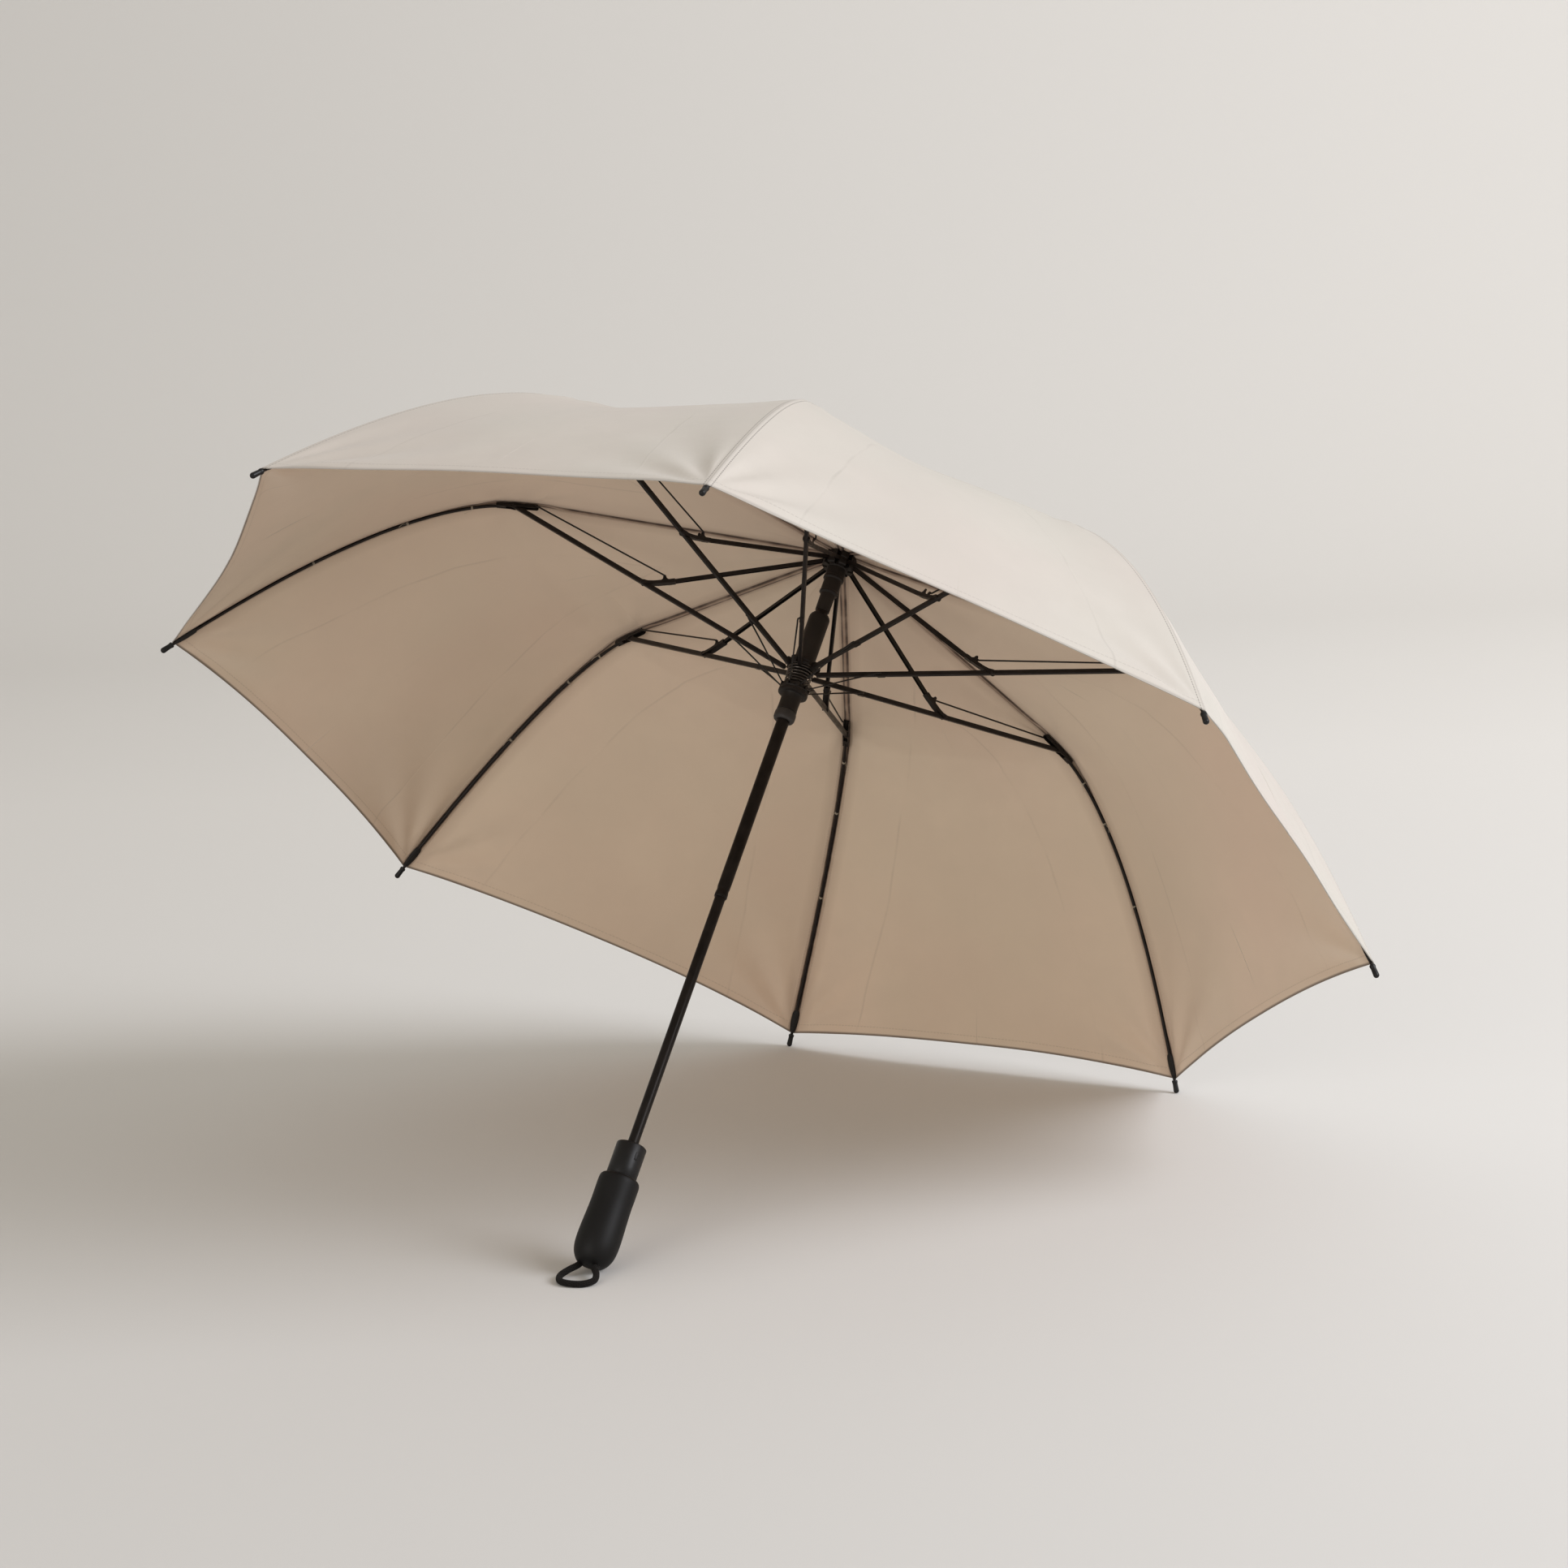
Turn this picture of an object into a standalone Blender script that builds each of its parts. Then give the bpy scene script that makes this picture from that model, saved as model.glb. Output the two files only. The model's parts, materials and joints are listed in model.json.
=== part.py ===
"""Folding umbrella with eight ribs, open, lying on its grip and on two rib tips.

It is modelled upright: the shaft runs up Z, and heights are measured along it
from the plane through the ends of the rib tips. A last step tips it over the
grip and the two lowest tips, and centres it on the floor.

Each rib is a flat linkage in its own plane, drawn with X outwards from the
shaft, Z up the shaft and Y across the rib:

    hub pivot - top rib - elbow pivot
    runner pivot - stretcher - elbow pivot - same stretcher - knee pivot
    knee pivot - outer rib - tip, and a control wire that keeps it in line
"""

import math

import bmesh
import bpy
import numpy as np
from mathutils import Matrix, Vector

MM = 0.001

# Shared clearances and cutter overrun
GAP = 0.3 * MM
OVERRUN = 4.0 * MM

# Whole umbrella
RIB_COUNT = 8
CANOPY_RADIUS = 500.0 * MM
FIRST_RIB_AZIMUTH = math.radians(247.5)

# Linkage of one rib
HUB_PIVOT_RADIUS = 10.5 * MM
HUB_PIVOT_HEIGHT = 227.5 * MM
TOP_RIB_LENGTH = 148.7 * MM
TOP_RIB_DIP = math.radians(23.9)
RUNNER_PIVOT_RADIUS = 14.5 * MM
HUB_TO_RUNNER = 100.7 * MM
STRETCHER_OVERHANG = 128.9 * MM
OUTER_RIB_START_SLOPE = math.radians(11.5)
OUTER_RIB_END_SLOPE = math.radians(54.0)
TAIL_LENGTH = 17.5 * MM
WIRE_HOOK_BACK = 18.0 * MM
WIRE_HOOK_RISE = 2.0 * MM
LINK_JOINT_FROM_RUNNER = 50.0 * MM
LINK_FOOT_DEPTH = 1.5 * MM

# Bars, forks, rods and pins of the ribs
STRETCHER_WIDTH = 3.0 * MM
STRETCHER_DEPTH = 3.6 * MM
TOP_RIB_WIDTH = 3.0 * MM
TOP_RIB_DEPTH = 3.2 * MM
TOP_RIB_SAG = 2.5 * MM
FORK_WALL = 0.7 * MM
ELBOW_FORK_LENGTH = 26.0 * MM
ELBOW_FORK_ROOT = 6.0 * MM
KNEE_CLIP_REACH = 15.0 * MM
KNEE_CLIP_ROOT = 5.5 * MM
KNEE_CLIP_SKIRT = 2.0 * MM
PIN_RADIUS = 0.8 * MM
RIVET_HEAD = 0.3 * MM
OUTER_RIB_RADIUS = 1.3 * MM
OUTER_RIB_POINTS = 15
CONTROL_WIRE_RADIUS = 0.7 * MM
LINK_RADIUS = 0.6 * MM

# Rib tip caps
TIP_LENGTH = 11.0 * MM
TIP_RADIUS = 2.2 * MM
TIP_BORE_DEPTH = 7.0 * MM

# Shaft
OUTER_TUBE_RADIUS = 5.1 * MM
OUTER_TUBE_WALL = 0.55 * MM
OUTER_TUBE_FOOT = -78.0 * MM
CRIMP_DEPTH = 0.35 * MM
CRIMP_WIDTH = 2.4 * MM
CRIMP_ABOVE_FOOT = 6.0 * MM
INNER_TUBE_WALL = 0.6 * MM
TUBE_OVERLAP = 30.0 * MM

# Hub at the crown
HUB_RADIUS = 13.0 * MM
HUB_RISE = 6.5 * MM
HUB_DROP = 5.5 * MM
HUB_SLEEVE_RADIUS = 7.7 * MM
HUB_SLEEVE_LENGTH = 11.0 * MM
HUB_COLLAR_RADIUS = 7.2 * MM
HUB_COLLAR_LENGTH = 12.5 * MM
HUB_NOSE_RADIUS = 5.9 * MM
HUB_NOSE_LENGTH = 16.5 * MM
HUB_TUBE_SEAT = 6.0 * MM
HUB_PLUG_BORE = 2.8 * MM

# Crown cap over the cloth
CROWN_CAP_RADIUS = 12.0 * MM
CROWN_CAP_HEIGHT = 6.5 * MM
CROWN_CAP_FLAT = 8.0 * MM
CROWN_CAP_STEM = 2.5 * MM

# Runner
RUNNER_BELOW_HUB = 3.0 * MM
RUNNER_RADIUS = 8.5 * MM
RUNNER_CHAMFER = 2.5 * MM
RUNNER_HEAD_RADIUS = 14.5 * MM
RUNNER_HEAD_RISE = 7.0 * MM
RUNNER_HEAD_DROP = 2.4 * MM
RUNNER_NECK_RADIUS = 6.4 * MM
RUNNER_SLOT_FLOOR = 10.5 * MM

# Lower slider with its flange, and the coil spring above it
FLANGE_RADIUS = 12.0 * MM
SPRING_ROOM = 11.9 * MM
FLANGE_THICKNESS = 8.5 * MM
FLANGE_NOTCH_FLOOR = 10.0 * MM
SLIDER_RADIUS = 8.1 * MM
SLIDER_LENGTH = 32.0 * MM
SLIDER_LIP_RADIUS = 8.5 * MM
SLIDER_LIP_HEIGHT = 8.0 * MM
SLIDER_TRAVEL_ROOM = 8.0 * MM
SPRING_WIRE_RADIUS = 0.6 * MM
SPRING_TOP_RADIUS = 10.2 * MM
SPRING_FOOT_RADIUS = 9.0 * MM
SPRING_TURNS = 4.5
SPRING_POINTS_PER_TURN = 10

# Grip, its collar and its button
COLLAR_TOP = -290.0 * MM
COLLAR_RADIUS = 11.75 * MM
COLLAR_EDGE = 1.2 * MM
COLLAR_SPIGOT_RADIUS = 9.0 * MM
COLLAR_SPIGOT_LENGTH = 8.0 * MM
GRIP_TOP = -317.0 * MM
GRIP_LENGTH = 72.6 * MM
GRIP_SHOULDER_RADIUS = 15.5 * MM
GRIP_SHOULDER_ROUND = 3.2 * MM
GRIP_WAIST_RADIUS = 14.7 * MM
GRIP_BULGE_RADIUS = 17.3 * MM
GRIP_END_ROUND = 12.2 * MM
GRIP_SOCKET_DEPTH = 54.0 * MM
BUTTON_AZIMUTH = math.radians(-25.0)
BUTTON_BELOW_COLLAR_TOP = 10.0 * MM
BUTTON_WIDTH = 3.0 * MM
BUTTON_HEIGHT = 6.4 * MM
BUTTON_PROUD = 0.4 * MM
BUTTON_TRAVEL = 1.5 * MM
BUTTON_DEPTH = 3.4 * MM

# Canopy cloth
CLOTH_THICKNESS = 0.5 * MM
CLOTH_ABOVE_HUB = 1.6 * MM
CLOTH_CROWN_HOLE = 3.5 * MM
CLOTH_OVER_RIB = 2.2 * MM
CLOTH_OVER_KNEE = 3.9 * MM
CLOTH_TO_TIP = 0.9 * MM
HEM_SCALLOP = 10.2 * MM
GORE_SAG = 5.5 * MM
CLOTH_FLAT_ROWS = 5
CLOTH_CURVED_ROWS = 8
CLOTH_COLUMNS_PER_GORE = 4

# Wrist loop: radius, its two holes in the grip's end, and its route over the floor.
# The route is measured from the point on the floor below the grip's end.
CORD_RADIUS = 2.5 * MM
CORD_STEP = 1.6 * 2 * CORD_RADIUS
CORD_HOLE_SPREAD = 7.5 * MM
CORD_HOLE_SLOPE = math.radians(12.0)
CORD_HOLE_LENGTH = 30.0 * MM
CORD_ROUTE = [
    (-0.0075, 0.0070, 0.0099),
    (-0.0075, 0.0015, 0.0087),
    (-0.0075, -0.0040, 0.0076),
    (-0.0112, -0.0110, 0.0056),
    (-0.0132, -0.0190, 0.0034),
    (-0.0078, -0.0272, 0.0026),
    (0.0020, -0.0292, 0.0026),
    (0.0118, -0.0260, 0.0027),
    (0.0166, -0.0185, 0.0036),
    (0.0134, -0.0105, 0.0057),
    (0.0075, -0.0040, 0.0076),
    (0.0075, 0.0015, 0.0087),
    (0.0075, 0.0070, 0.0099),
]

# Sides of round pieces
TUBE_SIDES = 16
PIECE_SIDES = 32
ROD_SIDES = 6
HOLE_SIDES = 8
MERGE = 0.01 * MM

OUTER_FORK_HALF = STRETCHER_WIDTH / 2 + GAP + FORK_WALL
FORK_SLOT_WIDTH = STRETCHER_WIDTH + 2 * GAP
INNER_TUBE_RADIUS = OUTER_TUBE_RADIUS - OUTER_TUBE_WALL - GAP
GRIP_END = GRIP_TOP - GRIP_LENGTH

# Heights that follow the hub's pivot: the runner and the slider hang below it
HUB_TOP = HUB_PIVOT_HEIGHT + HUB_RISE
HUB_UNDER = HUB_PIVOT_HEIGHT - HUB_DROP
HUB_FOOT = HUB_UNDER - HUB_SLEEVE_LENGTH - HUB_COLLAR_LENGTH - HUB_NOSE_LENGTH
RUNNER_PIVOT_HEIGHT = HUB_PIVOT_HEIGHT - HUB_TO_RUNNER
RUNNER_TOP = HUB_FOOT - RUNNER_BELOW_HUB
FLANGE_TOP = RUNNER_PIVOT_HEIGHT - RUNNER_HEAD_DROP - SPRING_ROOM
RUNNER_NECK_FOOT = FLANGE_TOP - FLANGE_THICKNESS
SLIDER_FOOT = FLANGE_TOP - SLIDER_LENGTH
LINK_FOOT_HEIGHT = FLANGE_TOP - LINK_FOOT_DEPTH
CLOTH_CROWN_HEIGHT = HUB_TOP + CLOTH_ABOVE_HUB


def along(angle, distance):
    """Step in a rib's plane: distance at an angle above the outward direction."""
    return Vector((distance * math.cos(angle), 0.0, distance * math.sin(angle)))


HUB_PIVOT = Vector((HUB_PIVOT_RADIUS, 0.0, HUB_PIVOT_HEIGHT))
RUNNER_PIVOT = Vector((RUNNER_PIVOT_RADIUS, 0.0, RUNNER_PIVOT_HEIGHT))
ELBOW = HUB_PIVOT + along(-TOP_RIB_DIP, TOP_RIB_LENGTH)
STRETCHER_RISE = math.atan2(ELBOW.z - RUNNER_PIVOT.z, ELBOW.x - RUNNER_PIVOT.x)
STRETCHER_INNER = (ELBOW - RUNNER_PIVOT).length
KNEE = ELBOW + along(STRETCHER_RISE, STRETCHER_OVERHANG)
TIP_END = Vector((CANOPY_RADIUS, 0.0, 0.0))
TAIL = KNEE - along(-OUTER_RIB_START_SLOPE, TAIL_LENGTH)
WIRE_HOOK = (
    ELBOW
    - along(-TOP_RIB_DIP, WIRE_HOOK_BACK)
    + along(math.pi / 2 - TOP_RIB_DIP, WIRE_HOOK_RISE)
)
LINK_JOINT = RUNNER_PIVOT + along(STRETCHER_RISE, LINK_JOINT_FROM_RUNNER)
LINK_FOOT = Vector((FLANGE_NOTCH_FLOOR + 2 * GAP + LINK_RADIUS, 0.0, LINK_FOOT_HEIGHT))
WIRE_LANE = OUTER_FORK_HALF + RIVET_HEAD + GAP + CONTROL_WIRE_RADIUS
LINK_LANE = -(OUTER_FORK_HALF + GAP + LINK_RADIUS)


def outer_rib_bend():
    """Where the lines along the outer rib's two end slopes meet."""
    chord = TIP_END - KNEE
    start = along(-OUTER_RIB_START_SLOPE, 1)
    end = along(-OUTER_RIB_END_SLOPE, 1)
    spread = start.x * end.z - start.z * end.x
    return KNEE + start * ((chord.x * end.z - chord.z * end.x) / spread)


def outer_rib_curve(shares):
    """Points at the given shares of the rib's bend, a curve through two end slopes."""
    bend = outer_rib_bend()
    return [
        KNEE * (1 - u) ** 2 + bend * 2 * u * (1 - u) + TIP_END * u * u for u in shares
    ]


def new_material(name, colour, roughness, metallic=0.0):
    material = bpy.data.materials.new(name)
    material.use_nodes = True
    shader = material.node_tree.nodes["Principled BSDF"]
    shader.inputs["Base Color"].default_value = (*colour, 1.0)
    shader.inputs["Roughness"].default_value = roughness
    shader.inputs["Metallic"].default_value = metallic
    return material


def clear_scene():
    for old in list(bpy.data.objects):
        bpy.data.objects.remove(old, do_unlink=True)


def new_collection(name, hidden=False):
    collection = bpy.data.collections.new(name)
    collection.hide_render = hidden
    bpy.context.scene.collection.children.link(collection)
    return collection


def new_object(name, data, collection, material=None, parent=None):
    made = bpy.data.objects.new(name, data)
    collection.objects.link(made)
    made.parent = parent
    if material:
        data.materials.clear()
        data.materials.append(material)
    return made


def baked(helper):
    """The mesh that an object evaluates to, welded, with its placement applied."""
    bpy.context.view_layer.update()
    graph = bpy.context.evaluated_depsgraph_get()
    mesh = bpy.data.meshes.new_from_object(helper.evaluated_get(graph))
    mesh.transform(helper.matrix_world)
    shape = bmesh.new()
    shape.from_mesh(mesh)
    bmesh.ops.remove_doubles(shape, verts=shape.verts, dist=MERGE)
    bmesh.ops.recalc_face_normals(shape, faces=shape.faces)
    shape.to_mesh(mesh)
    shape.free()
    bpy.data.objects.remove(helper, do_unlink=True)
    return mesh


def circle_points(centre, radius, sides):
    """Corners of a round hole or eye in a rib's plane, as (outward, up) pairs."""
    turns = [2 * math.pi * n / sides for n in range(sides)]
    return [
        (centre.x + radius * math.cos(a), centre.z + radius * math.sin(a)) for a in turns
    ]


def plate(outlines, low, high):
    """Flat plate between two places across the rib, cut to outlines in its plane."""
    curve = bpy.data.curves.new("outline", "CURVE")
    curve.dimensions = "2D"
    curve.fill_mode = "BOTH"
    curve.extrude = (high - low) / 2
    for outline in outlines:
        spline = curve.splines.new("POLY")
        spline.points.add(len(outline) - 1)
        for point, (out, up) in zip(spline.points, outline):
            point.co = (out, up, 0.0, 1.0)
        spline.use_cyclic_u = True
    helper = new_object("outline", curve, workshop)
    helper.rotation_euler = (math.pi / 2, 0.0, 0.0)
    helper.location = (0.0, (low + high) / 2, 0.0)
    return baked(helper)


def rod(points, radius, sides=ROD_SIDES):
    """Round rod through points, with flat ends."""
    curve = bpy.data.curves.new("rod", "CURVE")
    curve.dimensions = "3D"
    curve.bevel_depth = radius
    curve.bevel_resolution = sides // 2 - 2
    curve.use_fill_caps = True
    spline = curve.splines.new("POLY")
    spline.points.add(len(points) - 1)
    for point, place in zip(spline.points, points):
        point.co = (*place, 1.0)
    return baked(new_object("rod", curve, workshop))


def turned(profile, closed=False, sides=PIECE_SIDES):
    """Mesh turned about Z from a profile of (radius, height) pairs."""
    mesh = bpy.data.meshes.new("profile")
    edges = [(n, n + 1) for n in range(len(profile) - 1)]
    if closed:
        edges.append((len(profile) - 1, 0))
    mesh.from_pydata([(radius, 0.0, height) for radius, height in profile], edges, [])
    helper = new_object("profile", mesh, workshop)
    screw = helper.modifiers.new("Turn", "SCREW")
    screw.steps = sides
    screw.render_steps = sides
    screw.use_merge_vertices = True
    screw.merge_threshold = MERGE
    screw.use_smooth_shade = True
    return baked(helper)


def combine(mesh, others, operation):
    """One mesh after a Boolean with each of the others in turn."""
    for other in others:
        base = new_object("base", mesh, workshop)
        tool = new_object("tool", other, workshop)
        step = base.modifiers.new(operation.title(), "BOOLEAN")
        step.operation = operation
        step.solver = "EXACT"
        step.object = tool
        mesh = baked(base)
        bpy.data.objects.remove(tool, do_unlink=True)
    return mesh


def smooth(mesh, sharp_angle=math.radians(35.0)):
    mesh.shade_smooth()
    mesh.set_sharp_from_angle(angle=sharp_angle)
    return mesh


def moved(mesh, offset):
    mesh.transform(Matrix.Translation(offset))
    return mesh


def bar_outline(start, end, depth):
    """Outline of a straight bar with round ends."""
    run = end - start
    angle = math.atan2(run.z, run.x)
    half = depth / 2
    outline = []
    for centre, first in ((end, -math.pi / 2), (start, math.pi / 2)):
        for n in range(HOLE_SIDES // 2 + 1):
            turn = angle + first + math.pi * n / (HOLE_SIDES // 2)
            outline.append(
                (centre.x + half * math.cos(turn), centre.z + half * math.sin(turn))
            )
    return outline


def pin(centre, half_length):
    return rod(
        [
            (centre.x, -half_length, centre.z),
            (centre.x, half_length, centre.z),
        ],
        PIN_RADIUS,
        HOLE_SIDES,
    )


def hole(centre, radius=PIN_RADIUS + GAP):
    return circle_points(centre, radius, HOLE_SIDES)


def pair(point):
    return (point.x, point.z)


def top_rib_mesh():
    """Bar from the hub to the elbow, sagging below the pivots, with a fork at the elbow."""
    angle = -TOP_RIB_DIP
    up, down = angle + math.pi / 2, angle - math.pi / 2
    half = TOP_RIB_DEPTH / 2
    fork_root = ELBOW - along(angle, ELBOW_FORK_LENGTH)
    bar_end = fork_root + along(angle, ELBOW_FORK_ROOT - GAP)
    eye = [
        pair(HUB_PIVOT + along(up + math.pi * n / HOLE_SIDES * 2, half))
        for n in range(HOLE_SIDES // 2 + 1)
    ]
    bar = [
        *eye,
        pair(bar_end + along(down, half + TOP_RIB_SAG)),
        pair(bar_end + along(down, TOP_RIB_SAG - half)),
    ]
    cheek_top = WIRE_HOOK_RISE + half
    cheek = [
        pair(fork_root + along(up, -TOP_RIB_SAG + half)),
        pair(fork_root + along(down, TOP_RIB_SAG + half)),
        pair(ELBOW - along(angle, half) + along(down, TOP_RIB_SAG + half)),
        *[
            pair(ELBOW + along(down + math.pi * n / HOLE_SIDES * 2, half))
            for n in range(1, HOLE_SIDES // 2)
        ],
        pair(ELBOW + along(up, half)),
        pair(WIRE_HOOK + along(angle, half) + along(up, half)),
        pair(WIRE_HOOK - along(angle, half) + along(up, half)),
    ]
    slot_root = fork_root + along(angle, ELBOW_FORK_ROOT)
    beyond = ELBOW + along(angle, half + OVERRUN)
    below = along(down, TOP_RIB_SAG + half + OVERRUN)
    above = along(up, cheek_top + OVERRUN)
    ledge = along(down, TOP_RIB_SAG - half)
    slot = [
        pair(fork_root - along(angle, OVERRUN) + ledge),
        pair(slot_root + ledge),
        pair(slot_root + below),
        pair(beyond + below),
        pair(beyond + above),
        pair(fork_root - along(angle, OVERRUN) + above),
    ]
    fork = combine(
        plate([cheek], -OUTER_FORK_HALF, OUTER_FORK_HALF),
        [plate([slot], -FORK_SLOT_WIDTH / 2, FORK_SLOT_WIDTH / 2)],
        "DIFFERENCE",
    )
    shank = plate([bar, hole(HUB_PIVOT)], -TOP_RIB_WIDTH / 2, TOP_RIB_WIDTH / 2)
    rivet = pin(ELBOW, OUTER_FORK_HALF + RIVET_HEAD)
    return moved(combine(shank, [fork, rivet], "UNION"), -HUB_PIVOT)


def stretcher_mesh():
    """Straight bar from the runner through the elbow to the knee, with three eyes."""
    outline = bar_outline(RUNNER_PIVOT, KNEE, STRETCHER_DEPTH)
    mesh = plate(
        [outline, hole(ELBOW), hole(KNEE), hole(RUNNER_PIVOT, PIN_RADIUS)],
        -STRETCHER_WIDTH / 2,
        STRETCHER_WIDTH / 2,
    )
    return moved(mesh, -ELBOW)


def outer_rib_mesh():
    """Clip that straddles the stretcher's end, and the curved round rib fixed in it."""
    angle = -OUTER_RIB_START_SLOPE
    up, down = angle + math.pi / 2, angle - math.pi / 2
    inside_top = STRETCHER_DEPTH / 2 + GAP
    top = inside_top + FORK_WALL
    tail_end = KNEE - along(angle, TAIL_LENGTH + KNEE_CLIP_SKIRT)
    nose = KNEE + along(angle, KNEE_CLIP_REACH)
    slot_root = nose - along(angle, KNEE_CLIP_ROOT)
    shell = [
        pair(tail_end + along(up, top)),
        pair(tail_end + along(down, KNEE_CLIP_SKIRT)),
        pair(nose + along(down, KNEE_CLIP_SKIRT)),
        pair(nose + along(up, top)),
    ]
    slot = [
        pair(tail_end - along(angle, OVERRUN) + along(up, inside_top)),
        pair(tail_end - along(angle, OVERRUN) + along(down, KNEE_CLIP_SKIRT + OVERRUN)),
        pair(slot_root + along(down, KNEE_CLIP_SKIRT + OVERRUN)),
        pair(slot_root + along(up, inside_top)),
    ]
    clip = combine(
        plate([shell], -OUTER_FORK_HALF, OUTER_FORK_HALF),
        [plate([slot], -FORK_SLOT_WIDTH / 2, FORK_SLOT_WIDTH / 2)],
        "DIFFERENCE",
    )
    rib_length = (TIP_END - KNEE).length
    first_share = (KNEE_CLIP_REACH - KNEE_CLIP_ROOT / 2) / rib_length
    last_share = 1 - (TIP_LENGTH - TIP_BORE_DEPTH + GAP) / rib_length
    shares = np.linspace(first_share, last_share, OUTER_RIB_POINTS)
    rib = rod([tuple(p) for p in outer_rib_curve(shares)], OUTER_RIB_RADIUS)
    rivet = pin(KNEE, OUTER_FORK_HALF + RIVET_HEAD)
    return moved(combine(clip, [rib, rivet], "UNION"), -KNEE)


def control_wire_mesh():
    lane = Vector((0.0, WIRE_LANE, 0.0))
    reach = TAIL - WIRE_HOOK
    return rod([tuple(lane), tuple(reach + lane)], CONTROL_WIRE_RADIUS)


def spring_link_mesh():
    """Thin rod beside the stretcher, its head bent in towards the stretcher's side."""
    lane = Vector((0.0, LINK_LANE, 0.0))
    side = Vector((0.0, -(STRETCHER_WIDTH / 2 + GAP), 0.0))
    foot = LINK_FOOT - LINK_JOINT + lane
    return rod([tuple(foot), tuple(lane), tuple(side)], LINK_RADIUS)


def rib_tip_mesh():
    """Small cap on the rib's end: open bore towards the rib, round outer end."""
    bore = OUTER_RIB_RADIUS + GAP
    ball_centre = TIP_RADIUS
    arc = [math.pi / 2 * n / 4 for n in range(5)]
    profile = [
        (0.0, TIP_LENGTH - TIP_BORE_DEPTH),
        (bore, TIP_LENGTH - TIP_BORE_DEPTH),
        (bore, TIP_LENGTH),
        (TIP_RADIUS, TIP_LENGTH),
        *[
            (TIP_RADIUS * math.cos(a), ball_centre - TIP_RADIUS * math.sin(a))
            for a in arc
        ],
    ]
    return turned(profile, sides=2 * ROD_SIDES)


def tube_mesh(radius, wall, foot, top, crimp_height=None):
    """Round tube; the crimp is a shallow groove rolled into it."""
    outside = [(radius, top)]
    if crimp_height is not None:
        outside += [
            (radius, crimp_height + CRIMP_WIDTH / 2),
            (radius - CRIMP_DEPTH, crimp_height),
            (radius, crimp_height - CRIMP_WIDTH / 2),
        ]
    outside.append((radius, foot))
    inside = [(radius - wall, foot), (radius - wall, top)]
    return turned(outside + inside, closed=True, sides=TUBE_SIDES)


def radial_slots(floor, reach, low, high, side_low, side_high):
    """One cutter mesh for each rib plane: a block from the slot's floor outwards."""
    cutters = []
    outline = [(floor, low), (reach, low), (reach, high), (floor, high)]
    for azimuth in rib_azimuths():
        cutter = plate([outline], side_low, side_high)
        cutter.transform(Matrix.Rotation(azimuth, 4, "Z"))
        cutters.append(cutter)
    return cutters


def rib_azimuths():
    step = 2 * math.pi / RIB_COUNT
    return [FIRST_RIB_AZIMUTH - step * n for n in range(RIB_COUNT)]


def hub_mesh():
    """Toothed disc that holds the top ribs, on a stepped sleeve around the tube."""
    sleeve_foot = HUB_UNDER - HUB_SLEEVE_LENGTH
    collar_foot = sleeve_foot - HUB_COLLAR_LENGTH
    bore = OUTER_TUBE_RADIUS + GAP
    seat = HUB_TOP - HUB_TUBE_SEAT
    profile = [
        (HUB_RADIUS, HUB_TOP),
        (HUB_RADIUS, HUB_UNDER),
        (HUB_SLEEVE_RADIUS, HUB_UNDER),
        (HUB_SLEEVE_RADIUS, sleeve_foot),
        (HUB_COLLAR_RADIUS, sleeve_foot),
        (HUB_COLLAR_RADIUS, collar_foot),
        (HUB_NOSE_RADIUS, collar_foot),
        (HUB_NOSE_RADIUS, HUB_FOOT),
        (bore, HUB_FOOT),
        (bore, seat),
        (HUB_PLUG_BORE, seat),
        (HUB_PLUG_BORE, HUB_TOP),
    ]
    half_slot = TOP_RIB_WIDTH / 2 + GAP
    floor = HUB_PIVOT_RADIUS - TOP_RIB_DEPTH / 2 - GAP
    slots = radial_slots(
        floor,
        HUB_RADIUS + OVERRUN,
        HUB_UNDER - OVERRUN,
        HUB_TOP + OVERRUN,
        -half_slot,
        half_slot,
    )
    body = combine(turned(profile, closed=True), slots, "DIFFERENCE")
    pins = []
    for azimuth in rib_azimuths():
        hinge = pin(HUB_PIVOT, half_slot + FORK_WALL)
        hinge.transform(Matrix.Rotation(azimuth, 4, "Z"))
        pins.append(hinge)
    return combine(body, pins, "UNION")


def crown_cap_mesh():
    """Low dome with a flat top, and a stem through the cloth into the hub."""
    seat = CLOTH_CROWN_HEIGHT + CLOTH_THICKNESS + GAP
    top = seat + CROWN_CAP_HEIGHT
    stem_foot = HUB_TOP - HUB_TUBE_SEAT + GAP
    bulge = 6
    dome = [
        (
            CROWN_CAP_FLAT
            + (CROWN_CAP_RADIUS - CROWN_CAP_FLAT) * math.sin(math.pi / 2 * n / bulge),
            top - CROWN_CAP_HEIGHT * (1 - math.cos(math.pi / 2 * n / bulge)),
        )
        for n in range(bulge + 1)
    ]
    profile = [(0.0, top), *dome, (CROWN_CAP_STEM, seat), (CROWN_CAP_STEM, stem_foot)]
    return turned([*profile, (0.0, stem_foot)])


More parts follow.
